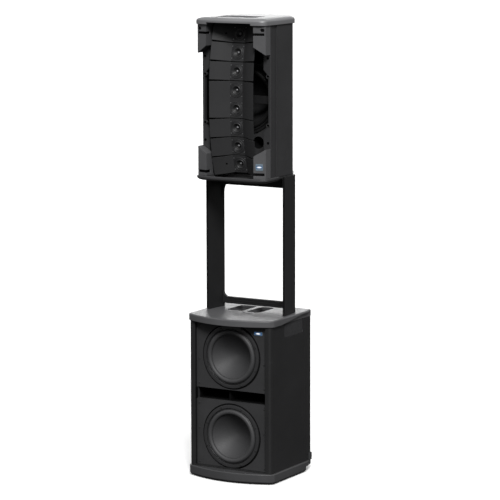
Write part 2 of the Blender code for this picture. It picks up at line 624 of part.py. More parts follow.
def box_amplifier():
    panel_depth = (BOX_REAR + GAP, BOX_REAR + 0.004)
    panel = block("speaker_amp_panel", (-0.084, 0.084), panel_depth, (1.310, 1.850), PANEL)
    cut_block(panel, "box_inlet_hole", (0.025, 0.055), (0.3, 0.4), (1.345, 1.370))
    face = BOX_REAR + 0.004 + GAP
    outline = fin_outline(11, 0.0775, 0.0050, face, face + 0.004, BOX_FIN_TIPS)
    bm = bmesh.new()
    add_loops(bm, [plan(outline, 1.640), plan(outline, 1.835)])
    add_object("speaker_heat_sink", bm, PANEL)
    block_depth = (face, face + 0.010)
    connector = block("speaker_connector_block", (-0.072, 0.004), block_depth, (1.430, 1.600),
                      SMOOTH_PLASTIC)
    for row, z in enumerate((1.458, 1.515, 1.572)):
        centre = at(-0.046, face + 0.010, z)
        cut_round(connector, f"box_socket_{row}", centre, SOCKET_RADIUS, 0.014, SMALL_ROUND)
    inlet = block("speaker_power_inlet", (0.016, 0.064), block_depth, (1.336, 1.379), SMOOTH_PLASTIC)
    cut_block(inlet, "box_inlet_recess", (0.023, 0.057), (face + 0.002, face + 0.02), (1.342, 1.373))
    knob("speaker_level_knob_1", at(0.040, face, 1.572), 0.010)
    knob("speaker_level_knob_2", at(0.040, face, 1.515), 0.010)
    rocker("speaker_power_rocker", at(0.040, face + 0.003, 1.415))


def status_lights():
    """A blank lit window on each box: flat on the bass baffle, and on the slanted face of a bracket."""
    thickness = 0.0025
    front = SUB_BAFFLE_FRONT - GAP
    block("sub_status_light", (0.111, 0.147), (front - thickness, front), (0.622, 0.634), LENS)
    outline = []
    for x in (0.1225, 0.1485):
        outline += [(x, bracket_face(x) - GAP), (x, bracket_face(x) - GAP - thickness)]
    outline = [outline[0], outline[1], outline[3], outline[2]]
    loft("speaker_status_light", [plan(outline, 1.310), plan(outline, 1.321)], LENS)


def main():
    for item in list(bpy.data.objects):
        bpy.data.objects.remove(item, do_unlink=True)
    sub_cabinet()
    sub_baffle()
    sub_port_duct()
    sub_top_cap()
    sub_bottom_cap()
    for word, z in WOOFER_HEIGHTS.items():
        centre = at(0, SUB_BAFFLE_FRONT, z)
        woofer("sub_woofer_" + word, centre, 0.1325, SUB_HOLE_RADIUS, 0.0925, 0.085, 0.070, SUB_SEAT_DEPTH)
    sub_amplifier()
    stand()
    box_cabinet()
    box_top_cap()
    box_bottom_cap()
    box_baffle()
    for word, upper in (("upper", True), ("lower", False)):
        bracket(f"grille_bracket_{word}_left", -1, upper)
        bracket(f"grille_bracket_{word}_right", 1, upper)
    centre = at(0, BOX_BAFFLE_FRONT, BOX_MIDDLE)
    woofer("speaker_woofer", centre, 0.1485, BOX_HOLE_RADIUS, 0.1080, 0.110, 0.078)
    array()
    box_amplifier()
    status_lights()


main()
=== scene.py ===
"""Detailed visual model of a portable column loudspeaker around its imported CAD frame.

Metres, +Z up, front faces -Y. Depths are measured back from the front edge of the bass box's side panels.
"""
import json
import math

import bmesh
import bpy
from mathutils import Matrix, Vector

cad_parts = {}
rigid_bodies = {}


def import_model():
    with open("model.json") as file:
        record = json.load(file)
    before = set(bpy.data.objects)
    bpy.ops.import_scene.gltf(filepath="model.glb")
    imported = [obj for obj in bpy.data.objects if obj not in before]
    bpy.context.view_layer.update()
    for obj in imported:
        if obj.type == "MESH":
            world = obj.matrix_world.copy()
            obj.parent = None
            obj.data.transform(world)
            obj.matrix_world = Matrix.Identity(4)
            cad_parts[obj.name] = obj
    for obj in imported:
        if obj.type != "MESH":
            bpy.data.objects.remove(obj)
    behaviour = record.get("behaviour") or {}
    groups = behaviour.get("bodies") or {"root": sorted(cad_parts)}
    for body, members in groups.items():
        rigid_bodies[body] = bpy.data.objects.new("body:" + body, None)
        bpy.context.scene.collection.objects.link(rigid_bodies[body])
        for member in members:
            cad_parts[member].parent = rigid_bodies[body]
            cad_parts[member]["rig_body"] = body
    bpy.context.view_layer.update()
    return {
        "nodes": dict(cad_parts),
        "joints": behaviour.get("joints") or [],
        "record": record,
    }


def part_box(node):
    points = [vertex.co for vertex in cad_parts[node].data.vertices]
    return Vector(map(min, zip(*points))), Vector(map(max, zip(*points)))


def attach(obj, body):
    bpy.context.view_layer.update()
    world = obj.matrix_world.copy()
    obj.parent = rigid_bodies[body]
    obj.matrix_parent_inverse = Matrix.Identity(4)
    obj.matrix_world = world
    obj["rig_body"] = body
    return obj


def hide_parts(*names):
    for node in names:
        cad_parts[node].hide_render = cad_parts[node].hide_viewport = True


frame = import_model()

NODES = frame["nodes"]
SLOT_OF = {row["node"]: row["material_slot"] for row in frame["record"]["subparts"]}
PIVOTS = {row["child"]: Vector(row["pos_m"]) for row in frame["joints"] if "pos_m" in row}
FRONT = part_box("sub_cabinet")[0].y
CLEAR = 0.0003                 # the CAD's clearance between touching pieces
ROUND = 96                     # sides of a large turned piece
SMALL_ROUND = 40
SCREW_ROUND = 12
RIM_STEPS = 4                  # steps of a rounded rim or corner
SIDES = ((-1, "left"), (1, "right"))
IDENTITY = Matrix.Identity(4)


# ---- points and outlines
def at(x, depth, z):
    return Vector((x, FRONT + depth, z))


def span(node):
    """A node's spans sideways, in depth and in height, as three (low, high) pairs."""
    lowest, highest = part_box(node)
    return (lowest.x, highest.x), (lowest.y - FRONT, highest.y - FRONT), (lowest.z, highest.z)


def middle_of(pair):
    return (pair[0] + pair[1]) / 2


def across(side, first, second):
    """A (low, high) pair on one side of the middle, from two distances out from it."""
    return sorted((side * first, side * second))


def grown(pair, amount):
    return pair[0] - amount, pair[1] + amount


def facing(x, depth, z, turn=0):
    """A place whose front looks along -Y, turned about Z in degrees: 90 looks along +X, 180 to the rear."""
    return Matrix.Translation(at(x, depth, z)) @ Matrix.Rotation(math.radians(turn), 4, "Z")


def plan(outline, z):
    return [at(x, depth, z) for x, depth in outline]


def face_on(outline, depth):
    return [at(x, depth, z) for x, z in outline]


def side_on(outline, x):
    return [at(x, depth, z) for depth, z in outline]


def local_plan(outline, z):
    return [Vector((x, y, z)) for x, y in outline]


def local_face(outline, y):
    return [Vector((x, y, z)) for x, z in outline]


def rounded(corners, steps=RIM_STEPS):
    """A closed outline from (a, b, radius) corners."""
    points = []
    for index, (a, b, radius) in enumerate(corners):
        here = Vector((a, b))
        if radius <= 0:
            points.append(here)
            continue
        before = (Vector(corners[index - 1][:2]) - here).normalized()
        after = (Vector(corners[(index + 1) % len(corners)][:2]) - here).normalized()
        half = before.angle(after) / 2
        reach = radius / math.tan(half)
        centre = here + (before + after).normalized() * (radius / math.sin(half))
        first, last = here + before * reach - centre, here + after * reach - centre
        for step in range(steps + 1):
            points.append(centre + first.slerp(last, step / steps).normalized() * radius)
    return points


def rectangle(a, b, radius=0.0, steps=RIM_STEPS):
    """A rectangle from two (low, high) pairs, with rounded corners."""
    corners = [(a[0], b[0]), (a[1], b[0]), (a[1], b[1]), (a[0], b[1])]
    return rounded([(*corner, radius) for corner in corners], steps)


def flipped(rows):
    """The (x, y, ...) rows on the other side of the middle, in reverse order."""
    return [(-row[0], *row[1:]) for row in reversed(rows) if abs(row[0]) > 1e-9]


def mirrored(half):
    """Close a row of (x, y, ...) corners given for the right side."""
    return half + flipped(half)


def shrink(outline, distance):
    """Draw an outline in towards its middle so that its box loses distance on each side."""
    moved = [list(point) for point in outline]
    for axis in (0, 1):
        values = [point[axis] for point in outline]
        middle = (min(values) + max(values)) / 2
        half = (max(values) - min(values)) / 2
        for point in moved:
            point[axis] = middle + (point[axis] - middle) * (1 - distance / half)
    return moved


def arc(centre, radius, start, end, steps):
    """Points on an arc, angles in degrees."""
    points = []
    for step in range(steps + 1):
        angle = math.radians(start + (end - start) * step / steps)
        points.append((centre[0] + radius * math.cos(angle), centre[1] + radius * math.sin(angle)))
    return points


# ---- mesh building
def skin(loops, into=None):
    """Skin a row of closed loops, point by point, and close both ends."""
    bm = bmesh.new() if into is None else into
    rings = [[bm.verts.new(point) for point in loop] for loop in loops]
    for first, second in zip(rings, rings[1:]):
        for index in range(len(first)):
            following = (index + 1) % len(first)
            bm.faces.new((first[index], first[following], second[following], second[index]))
    bm.faces.new(rings[0])
    bm.faces.new(rings[-1])
    return bm


def solid(outline, start, end, rounds=(0.0, 0.0), place=plan, into=None):
    """Sweep an outline from start to end, its two rims rounded by the radii in rounds."""
    loops = []
    for level, inward, radius in ((start, 1, rounds[0]), (end, -1, rounds[1])):
        rim = []
        for step in range(RIM_STEPS + 1 if radius else 1):
            angle = math.pi / 2 * step / RIM_STEPS if radius else math.pi / 2
            drawn = shrink(outline, radius * (1 - math.sin(angle))) if radius else outline
            rim.append(place(drawn, level + inward * radius * (1 - math.cos(angle))))
        loops += rim[::inward]
    return skin(loops, into)


def board(outline, front, back, **settings):
    """Sweep a face-on outline from front to back."""
    return solid(outline, front, back, place=face_on, **settings)


def block(x, depth, z):
    return solid(rectangle(x, depth), *z)


def turn(profile, matrix=IDENTITY, sides=ROUND, reach=None, into=None):
    """Turn a closed (radius, distance) profile about matrix's Y axis; reach(angle) may vary its radius."""
    bm = bmesh.new() if into is None else into
    rings = []
    for radius, distance in profile:
        count = 1 if radius < 1e-9 else sides
        ring = []
        for step in range(count):
            angle = 2 * math.pi * (step + 0.5) / sides
            far = radius * (reach(angle) if reach else 1.0)
            point = Vector((far * math.cos(angle), distance, far * math.sin(angle)))
            ring.append(bm.verts.new(matrix @ point))
        rings.append(ring)
    for first, second in zip(rings, rings[1:] + rings[:1]):
        if len(first) == 1 and len(second) == 1:
            continue
        for step in range(sides):
            following = (step + 1) % sides
            corners = [first[step % len(first)], first[following % len(first)],
                       second[following % len(second)], second[step % len(second)]]
            bm.faces.new(list(dict.fromkeys(corners)))
    return bm


def drum(matrix, radius, front, back, sides=ROUND):
    """A plain round cutter."""
    return turn([(0, front), (radius, front), (radius, back), (0, back)], matrix, sides)


def screw(into, matrix, radius, height):
    """A round-headed screw with a socket in it, standing on the face at matrix."""
    profile = [(0, 0.0006), (radius, 0.0006), (radius, -height * 0.55), (radius * 0.84, -height),
               (radius * 0.5, -height), (radius * 0.45, -height * 0.2), (0, -height * 0.2)]
    turn(profile, matrix, SCREW_ROUND, into=into)


def make(name, bm, matrix=IDENTITY):
    bmesh.ops.remove_doubles(bm, verts=bm.verts, dist=1e-6)
    bmesh.ops.recalc_face_normals(bm, faces=bm.faces)
    mesh = bpy.data.meshes.new(name)
    bm.to_mesh(mesh)
    bm.free()
    item = bpy.data.objects.new(name, mesh)
    item.matrix_world = matrix
    bpy.context.scene.collection.objects.link(item)
    return item


def piece(name, bm, node, replaces=True, slot=None, cuts=(), bevel=0.0, smooth=35, matrix=IDENTITY,
          look=None):
    """Finish a piece that stands for a CAD node, or goes with it: cut, ease, shade, paint and ride."""
    item = make(name, bm, matrix)
    tools = [make(f"tool_{number}", cutter, matrix) for number, cutter in enumerate(cuts)]
    for tool in tools:
        modifier = item.modifiers.new("cut", "BOOLEAN")
        modifier.object = tool
        modifier.operation = "DIFFERENCE"
        modifier.solver = "EXACT"
    if tools:
        item.modifiers.new("weld", "WELD").merge_threshold = 0.00002
    if bevel:
        modifier = item.modifiers.new("ease", "BEVEL")
        modifier.width = bevel
        modifier.segments = 2
        modifier.limit_method = "ANGLE"
        modifier.angle_limit = math.radians(32)
    if item.modifiers:
        depsgraph = bpy.context.evaluated_depsgraph_get()
        mesh = bpy.data.meshes.new_from_object(item.evaluated_get(depsgraph))
        item.modifiers.clear()
        item.data = mesh
    for tool in tools:
        bpy.data.objects.remove(tool)
    item.data.shade_smooth()
    item.data.set_sharp_from_angle(angle=math.radians(smooth))
    item.modifiers.new("normals", "WEIGHTED_NORMAL").keep_sharp = True
    slot = slot or SLOT_OF[node]
    item.data.materials.clear()
    item.data.materials.append(LOOKS[look or slot])
    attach(item, NODES[node]["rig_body"])
    if replaces:
        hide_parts(node)


def extra(name, bm, node, slot=None, **settings):
    """A piece that goes with a CAD node and replaces nothing."""
    piece(name, bm, node, False, slot, **settings)


# ---- finishes
def wire(tree, kind, inputs, **settings):
    """Add a shader node and give its outputs; each input is a value, or a socket to link from."""
    node = tree.nodes.new("ShaderNode" + kind)
    for key, value in settings.items():
        setattr(node, key, value)
    for key, value in inputs.items():
        if isinstance(value, bpy.types.NodeSocket):
            tree.links.new(value, node.inputs[key])
        else:
            node.inputs[key].default_value = value
    return node.outputs


def ramp(tree, factor, stops):
    """A colour that follows a factor through (position, colour) stops."""
    node = tree.nodes.new("ShaderNodeValToRGB")
    for position, _ in stops[1:-1]:
        node.color_ramp.elements.new(position)
    for element, (position, colour) in zip(node.color_ramp.elements, stops):
        element.position = position
        element.color = colour
    tree.links.new(factor, node.inputs["Fac"])
    return node.outputs["Color"]


def grey(value):
    """A grey with a trace of blue."""
    return value, value, value * 1.04


def finish_look(name, dark, light, rough, grain, relief, patch=0.15, metallic=0.0, specular=0.5,
                cells=False, rings=0.0, stretch=(1, 1, 1), scuffs=0.0):
    """A finish from nodes: mottled colour, speckled gloss and a fine grain in relief. Lengths in metres."""
    material = bpy.data.materials.new(name)
    material.use_nodes = True
    tree = material.node_tree
    shader = tree.nodes["Principled BSDF"]
    shader.inputs["Metallic"].default_value = metallic
    shader.inputs["Specular IOR Level"].default_value = specular

    def add(kind, inputs, **settings):
        return wire(tree, kind, inputs, **settings)

    place = add("TexCoord", {})["Object"]
    along = add("Mapping", {"Vector": place, "Scale": stretch})["Vector"]
    cloud = add("TexNoise", {"Vector": along, "Scale": 1 / patch, "Detail": 5.0, "Roughness": 0.6})["Fac"]
    speck = add("TexNoise", {"Vector": along, "Scale": 1 / grain, "Detail": 2.0})["Fac"]
    height = speck
    if cells:
        cell = add("TexVoronoi", {"Vector": along, "Scale": 1 / grain}, feature="SMOOTH_F1")["Distance"]
        height = add("Math", {0: cell, 1: speck}, operation="ADD")[0]
    if rings:
        # rings about the piece's own Y axis
        flat = add("VectorMath", {0: place, 1: (1, 0, 1)}, operation="MULTIPLY")[0]
        radius = add("VectorMath", {0: flat}, operation="LENGTH")["Value"]
        phase = add("Math", {0: radius, 1: 2 * math.pi / rings}, operation="MULTIPLY")[0]
        wave = add("Math", {0: phase}, operation="SINE")[0]
        height = add("Math", {0: wave, 1: 0.35, 2: height}, operation="MULTIPLY_ADD")[0]
    share = add("Math", {0: speck, 1: 0.45, 2: cloud}, operation="MULTIPLY_ADD")[0]
    share = add("MapRange", {"Value": share, "From Min": 0.45, "From Max": 1.0})["Result"]
    colour = add("Mix", {"Factor": share, 6: (*dark, 1), 7: (*light, 1)}, data_type="RGBA")[2]
    gloss = add("MapRange", {"Value": speck, "From Min": 0.3, "From Max": 0.7,
                             "To Min": rough[0], "To Max": rough[1]})["Result"]
    if scuffs:
        # faint handling marks where a slow and a fine pattern meet
        scratch = add("TexNoise", {"Vector": place, "Scale": 9.0, "Detail": 8.0, "Roughness": 0.75,
                                   "Distortion": 2.5})["Fac"]
        mark = add("MapRange", {"Value": scratch, "From Min": 0.6, "From Max": 0.72,
                                "To Max": scuffs})["Result"]
        colour = add("Mix", {"Factor": mark, 6: colour, 7: SCUFF_COLOUR}, data_type="RGBA")[2]
        gloss = add("Math", {0: mark, 1: 0.5, 2: gloss}, operation="MULTIPLY_ADD")[0]
    bump = add("Bump", {"Strength": 0.6, "Distance": relief, "Height": height})["Normal"]
    tree.links.new(colour, shader.inputs["Base Color"])
    tree.links.new(gloss, shader.inputs["Roughness"])
    tree.links.new(bump, shader.inputs["Normal"])
    return material


def lens_look():
    """A lit window: white in the middle, pale blue towards its rim."""
    material = finish_look("status_lens", (0.02, 0.04, 0.07), (0.03, 0.06, 0.1), (0.1, 0.16), 0.004,
                           0.00005)
    tree = material.node_tree
    shader = tree.nodes["Principled BSDF"]
    place = wire(tree, "TexCoord", {})["Object"]
    spread = wire(tree, "VectorMath", {0: place, 1: LENS_SPREAD}, operation="MULTIPLY")[0]
    length = wire(tree, "VectorMath", {0: spread}, operation="LENGTH")["Value"]
    tree.links.new(ramp(tree, length, LENS_GLOW), shader.inputs["Emission Color"])
    shader.inputs["Emission Strength"].default_value = 1.0
    return material


SCUFF_COLOUR = (0.22, 0.22, 0.22, 1)
LENS_SPREAD = (75, 0, 230)     # per metre from the lens's middle, sideways and up, to the end of its glow
LENS_GLOW = ((0.4, (1.0, 1.0, 1.0, 1)), (0.95, (0.02, 0.06, 0.14, 1)))
# darkest and lightest grey, least and most roughness, size of grain, height of relief
FINISHES = {
    "cabinet_wood": (0.0095, 0.0145, 0.36, 0.55, 0.0016, 0.00025, dict(specular=0.32, scuffs=0.03)),
    "baffle_wood": (0.019, 0.029, 0.5, 0.7, 0.0014, 0.0002, dict(specular=0.25)),
    "cabinet_moulding": (0.022, 0.031, 0.4, 0.58, 0.0012, 0.0002,
                         dict(cells=True, specular=0.22, scuffs=0.03)),
    "cap_moulding": (0.054, 0.075, 0.34, 0.5, 0.0013, 0.0002, dict(cells=True, scuffs=0.05)),
    # painted light: a lighter, glossier copy of cap_moulding for the array box's top cap, which catches more
    # light
    "cap_moulding_painted_light": (0.095, 0.125, 0.32, 0.46, 0.0013, 0.0002, dict(cells=True, specular=0.9, scuffs=0.05)),
    # painted shade: a darker copy of cap_moulding for the two bottom caps, which get less light
    "cap_moulding_painted_shade": (0.031, 0.044, 0.34, 0.5, 0.0013, 0.0002, dict(cells=True, specular=0.4, scuffs=0.05)),
    "stand_paint": (0.0085, 0.0135, 0.42, 0.58, 0.0009, 0.00012, dict(specular=0.22)),
    "array_plastic": (0.0175, 0.025, 0.5, 0.64, 0.001, 0.00008, dict(specular=0.2)),
    "driver_cone": (0.005, 0.01, 0.45, 0.6, 0.0006, 0.0001, dict(rings=0.0016, specular=0.3)),
    "woofer_cone": (0.025, 0.036, 0.5, 0.68, 0.0018, 0.00025, dict(rings=0.006, specular=0.3)),
    # painted shade: a darker copy of woofer_cone, for the array box's woofer that sits in shade behind the
    # array
    "painted_shade_cone": (0.008, 0.013, 0.5, 0.68, 0.0018, 0.00025, dict(rings=0.006, specular=0.15)),
    # lighter than the cabinet paint: partly the rubber's own grey, partly painted highlight for the bright
    # ring along the woofers' half-roll
    "surround_rubber": (0.028, 0.04, 0.5, 0.64, 0.001, 0.00008, dict(specular=0.3)),
    "woofer_frame": (0.022, 0.034, 0.36, 0.52, 0.0012, 0.00015, dict(metallic=0.3, specular=0.4)),
    # painted shade: a darker copy of woofer_frame, for the array box's woofer in shade and for the bass box's
    # recess sheets
    "painted_shade_frame": (0.006, 0.01, 0.45, 0.6, 0.0012, 0.00015, dict(specular=0.2)),
    "magnet_iron": (0.11, 0.17, 0.3, 0.44, 0.0015, 0.0001, dict(metallic=0.6)),
    "panel_metal": (0.018, 0.026, 0.4, 0.55, 0.0011, 0.0001, dict(metallic=0.4, scuffs=0.04)),
    "heat_sink": (0.014, 0.022, 0.3, 0.46, 0.0008, 0.0001, dict(metallic=0.6, stretch=(1, 1, 0.06))),
    "control_plastic": (0.018, 0.028, 0.32, 0.46, 0.001, 0.0001, {}),
    "knob_plastic": (0.014, 0.022, 0.3, 0.44, 0.0008, 0.0001, {}),
    # painted shade: near-black for the shade inside ports, the slot, holes and hollows
    "painted_shade_black": (0.0015, 0.0035, 0.7, 0.9, 0.001, 0.0002, dict(specular=0.05)),
}
LOOKS = {}
for name, (dark, light, smoothest, roughest, grain, relief, settings) in FINISHES.items():
    LOOKS[name] = finish_look(name, grey(dark), grey(light), (smoothest, roughest), grain, relief, **settings)
LOOKS["status_lens"] = lens_look()
LOOKS["lens_surround"] = finish_look("lens_surround", (0.1, 0.135, 0.17), (0.13, 0.17, 0.21), (0.3, 0.4),
                                     0.001, 0.0001)
for node, item in NODES.items():
    item.data.materials.clear()
    item.data.materials.append(LOOKS[SLOT_OF[node]])
# the bass port's duct is painted near-black for the shade inside it
NODES["sub_port_duct"].data.materials[0] = LOOKS["painted_shade_black"]


# ---- bass box
SUB_X, SUB_DEPTH, SUB_Z = span("sub_cabinet")
SUB_BAFFLE_X, SUB_BAFFLE_DEPTH, SUB_BAFFLE_Z = span("sub_baffle")
SUB_CAP_X, SUB_CAP_DEPTH, SUB_CAP_Z = span("sub_top_cap")
SUB_TOP = SUB_CAP_Z[1]
SUB_CAP_REAR = 0.344
PANEL_CORNER = 0.013          # radius of the side panels' front edges
SUB_INSIDE = grown(SUB_BAFFLE_X, CLEAR)
AMP_OPENING_X, AMP_OPENING_Z = (-0.105, 0.105), (0.12, 0.56)
(BLADE_INNER, BLADE_OUTER), BLADE_DEPTH, BLADE_Z = span("stand_right_upright")
BLADE_THICK, BLADE_GAP, POCKET_FLOOR = 0.011, 0.0012, 0.628
GRIP_DEPTH, GRIP_Z, GRIP_RECESS = (0.113, 0.27), (0.6, 0.68), 0.003
GRIP_FLOOR = SUB_X[1] - GRIP_RECESS
GROOVE_DEPTHS, GROOVE_SIZE, GROOVE_RECESS = (0.284, 0.314), 0.003, 0.002
SLOT_X, SLOT_Z = (-0.164, 0.164), (0.33, 0.379)
SEAT_RADIUS, SEAT_DEPTH, SUB_HOLE = 0.1385, 0.004, 0.1165
WOOFER_BOLTS = 8
CONE_HEIGHTS = {word: middle_of(span(f"sub_woofer_{word}_cone")[2]) for word in ("lower", "upper")}
# spans sideways and in depth, and depth below the top, of the two wells in the top cap
WELLS = (((-0.11, -0.032), (0.155, 0.288), 0.018), ((-0.011, 0.052), (0.152, 0.288), 0.022))


def blade_outline(side, grow=0.0):
    """Plan of one stand upright, which leans inwards towards the back."""
    front, rear = grown(BLADE_DEPTH, grow)
    outer_rear = BLADE_INNER + BLADE_THICK + grow
    corners = [(BLADE_OUTER + grow, front), (outer_rear, rear),
               (BLADE_INNER - grow, rear), (BLADE_OUTER - BLADE_THICK - grow, front)]
    return [(side * x, depth) for x, depth in corners]


def sub_cap_outline(front):
    """Plan of a bass box cap: a bowed front, round front corners and cut-off rear corners."""
    width = SUB_CAP_X[1]
    bow_end = width - 0.012
    steps = 14
    half = [(bow_end * step / steps, front - front * (step / steps) ** 2, 0.0) for step in range(steps)]
    half += [(bow_end, -0.002, 0.004), (width, 0.014, 0.012), (width, 0.292, 0.01),
             (width - 0.012, SUB_CAP_REAR, 0.006)]
    return rounded(mirrored(half))


def build_grip_plate(side, word):
    """A ribbed plate on the floor of one side grip."""
    depths = (GRIP_DEPTH[0] + 0.004, GRIP_DEPTH[1] - 0.001)
    plate = rectangle(depths, (GRIP_Z[0] + 0.001, SUB_Z[1] - 0.0005), 0.01)
    bm = solid(plate, *across(side, GRIP_FLOOR, GRIP_FLOOR + 0.0014), place=side_on)
    for rib in range(6):
        depth = GRIP_DEPTH[0] + 0.022 + rib * 0.024
        ridge = rectangle((depth, depth + 0.01), (GRIP_Z[0] + 0.012, SUB_Z[1] - 0.012), 0.0045)
        solid(ridge, *across(side, GRIP_FLOOR + 0.0012, SUB_X[1] - 0.0008), place=side_on, into=bm)
    extra(f"sub_grip_plate_{word}", bm, "sub_cabinet", "cabinet_moulding", bevel=0.0004)


def build_sub_cabinet():
    rear = SUB_DEPTH[1]
    corners = mirrored([(SUB_X[1], 0.0, PANEL_CORNER), (SUB_X[1], rear, 0.004)])
    cuts = [block(SUB_INSIDE, (-0.01, 0.115), (SUB_Z[0] + 0.005, SUB_Z[1] - 0.007)),
            block(SUB_INSIDE, (0.11, rear - 0.018), (SUB_Z[0] + 0.017, 0.62)),
            block(AMP_OPENING_X, (rear - 0.03, rear + 0.01), AMP_OPENING_Z)]
    for side, word in SIDES:
        outside = side * (SUB_X[1] + 0.01)
        cuts.append(solid(blade_outline(side, BLADE_GAP), POCKET_FLOOR, SUB_TOP))
        grip = rectangle(GRIP_DEPTH, (GRIP_Z[0], GRIP_Z[1] + 0.02), 0.012)
        cuts.append(solid(grip, side * GRIP_FLOOR, outside, place=side_on))
        for depth in GROOVE_DEPTHS:
            groove = rectangle((depth, depth + GROOVE_SIZE), grown(SUB_Z, 0.01))
            cuts.append(solid(groove, side * (SUB_X[1] - GROOVE_RECESS), outside, place=side_on))
        build_grip_plate(side, word)
    piece("sub_cabinet_body", solid(rounded(corners, 10), *SUB_Z), "sub_cabinet", cuts=cuts, bevel=0.0014)


def build_sub_painted_shade():
    """Near-black sheets of painted shade on the sides in front of the baffle, and at the two ends of the
    slot.
    """
    wall, face = SUB_INSIDE[1], SUB_BAFFLE_DEPTH[0]
    shade_sheet, ends = bmesh.new(), bmesh.new()
    for side, _ in SIDES:
        strip = rectangle(across(side, wall + 0.0001, wall - 0.0006), (0.0008, face - CLEAR))
        solid(strip, SUB_Z[0] + 0.006, SUB_Z[1] - 0.008, into=shade_sheet)
        for x, depth in ((across(side, wall, SLOT_X[1] - 0.0002), (face - 0.0005, face + 0.001)),
                         (across(side, wall - 0.0005, wall - 0.0012), (0.0012, face - CLEAR))):
            solid(rectangle(x, depth), *SLOT_Z, into=ends)
    # painted shade: the side walls' inner faces and the slot's ends fall in shade
    extra("sub_recess_painted_shade", shade_sheet, "sub_cabinet", look="painted_shade_frame")
    extra("sub_slot_ends_painted_shade", ends, "sub_baffle", look="painted_shade_black")


def build_sub_baffle():
    front = SUB_BAFFLE_DEPTH[0]
    cuts = [board(rectangle(SLOT_X, SLOT_Z, 0.003), 0.0, 0.05)]
    for z in CONE_HEIGHTS.values():
        cuts.append(drum(facing(0, front, z), SUB_HOLE, -0.01, 0.03))
        cuts.append(drum(facing(0, front, z), SEAT_RADIUS, -0.01, SEAT_DEPTH))
    screws = bmesh.new()
    for x in (-0.156, 0.156):
        for z in (0.062, 0.206, 0.312, 0.397, 0.498, 0.641):
            screw(screws, facing(x, front, z), 0.004, 0.0018)
    sheet = board(rectangle(SUB_BAFFLE_X, SUB_BAFFLE_Z), *SUB_BAFFLE_DEPTH)
    piece("sub_baffle_board", sheet, "sub_baffle", cuts=cuts, bevel=0.001)
    extra("sub_baffle_screws", screws, "sub_baffle", "woofer_frame")


def build_sub_top():
    """The top cap, its skirt raised towards the rear, with two ribbed wells and the stand's pockets."""
    bottom = SUB_Z[1] + CLEAR
    low, high = bottom - 0.002, SUB_TOP - 0.008
    skirt = [(0.05, low), (0.36, low), (0.36, high), (0.25, high)]
    cuts = []
    for side, _ in SIDES:
        cuts.append(solid(blade_outline(side, BLADE_GAP), 0.6, SUB_TOP + 0.01))
        cuts.append(solid(skirt, side * (SUB_X[1] + CLEAR), side * (SUB_X[1] + 0.02), place=side_on))
    pads = bmesh.new()
    for x, depth, sink in WELLS:
        floor = SUB_TOP - sink
        cuts.append(solid(rectangle(x, depth, 0.018), floor, SUB_TOP + 0.01, (0.005, 0.0)))
        for rib in range(5):
            low = depth[0] + 0.022 + rib * 0.019
            ridge = rectangle(grown(x, -0.012), (low, low + 0.009), 0.004)
            solid(ridge, floor - 0.0005, floor + 0.0025, (0.0, 0.0012), into=pads)
    cap = solid(sub_cap_outline(SUB_CAP_DEPTH[0]), bottom, SUB_TOP, (0.0015, 0.006))
    piece("sub_top_moulding", cap, "sub_top_cap", cuts=cuts, bevel=0.0012)
    extra("sub_well_pads", pads, "sub_top_cap", "surround_rubber")


def build_sub_bottom():
    """The bottom cap, stepped up at the rear, with four feet and two rear bumpers."""
    top = SUB_Z[0]
    rim = [(0.01, 0.003), (0.0075, 0.0035), (0.004, 0.007), (0.0, 0.012), (0.0, top - 0.004),
           (0.001, top - 0.0014), (0.003, top - CLEAR)]
    outline = sub_cap_outline(SUB_CAP_DEPTH[0] + 0.008)
    cap = skin([plan(shrink(outline, inset), z) for inset, z in rim])
    step = block((-0.25, 0.25), (0.282, 0.42), (-0.01, 0.025))
    # the bottom cap takes the shaded copy of the cap finish: painted shade
    piece("sub_bottom_moulding", cap, "sub_bottom_cap", cuts=[step], bevel=0.0012, look="cap_moulding_painted_shade")
    feet = bmesh.new()
    foot = [(0, 0.0), (0.016, 0.0), (0.019, 0.0045), (0, 0.0045)]
    for x in (-0.15, 0.15):
        for depth in (0.02, 0.25):
            upright = Matrix.Translation(at(x, depth, 0.0)) @ Matrix.Rotation(math.radians(90), 4, "X")
            turn(foot, upright, SMALL_ROUND, into=feet)
    extra("sub_feet", feet, "sub_bottom_cap", "surround_rubber")
    bumpers = bmesh.new()
    corner = [(0.168, 0.3382, 0.001), (0.1953, 0.3382, 0.0), (0.1953, 0.318, 0.0), (0.1995, 0.318, 0.001),
              (0.1995, 0.3435, 0.005), (0.168, 0.3435, 0.001)]
    for side, _ in SIDES:
        outline = rounded([(side * x, depth, radius) for x, depth, radius in corner])
        solid(outline, 0.0452, 0.076, into=bumpers)
    extra("sub_rear_bumpers", bumpers, "sub_bottom_cap", "surround_rubber", bevel=0.001)


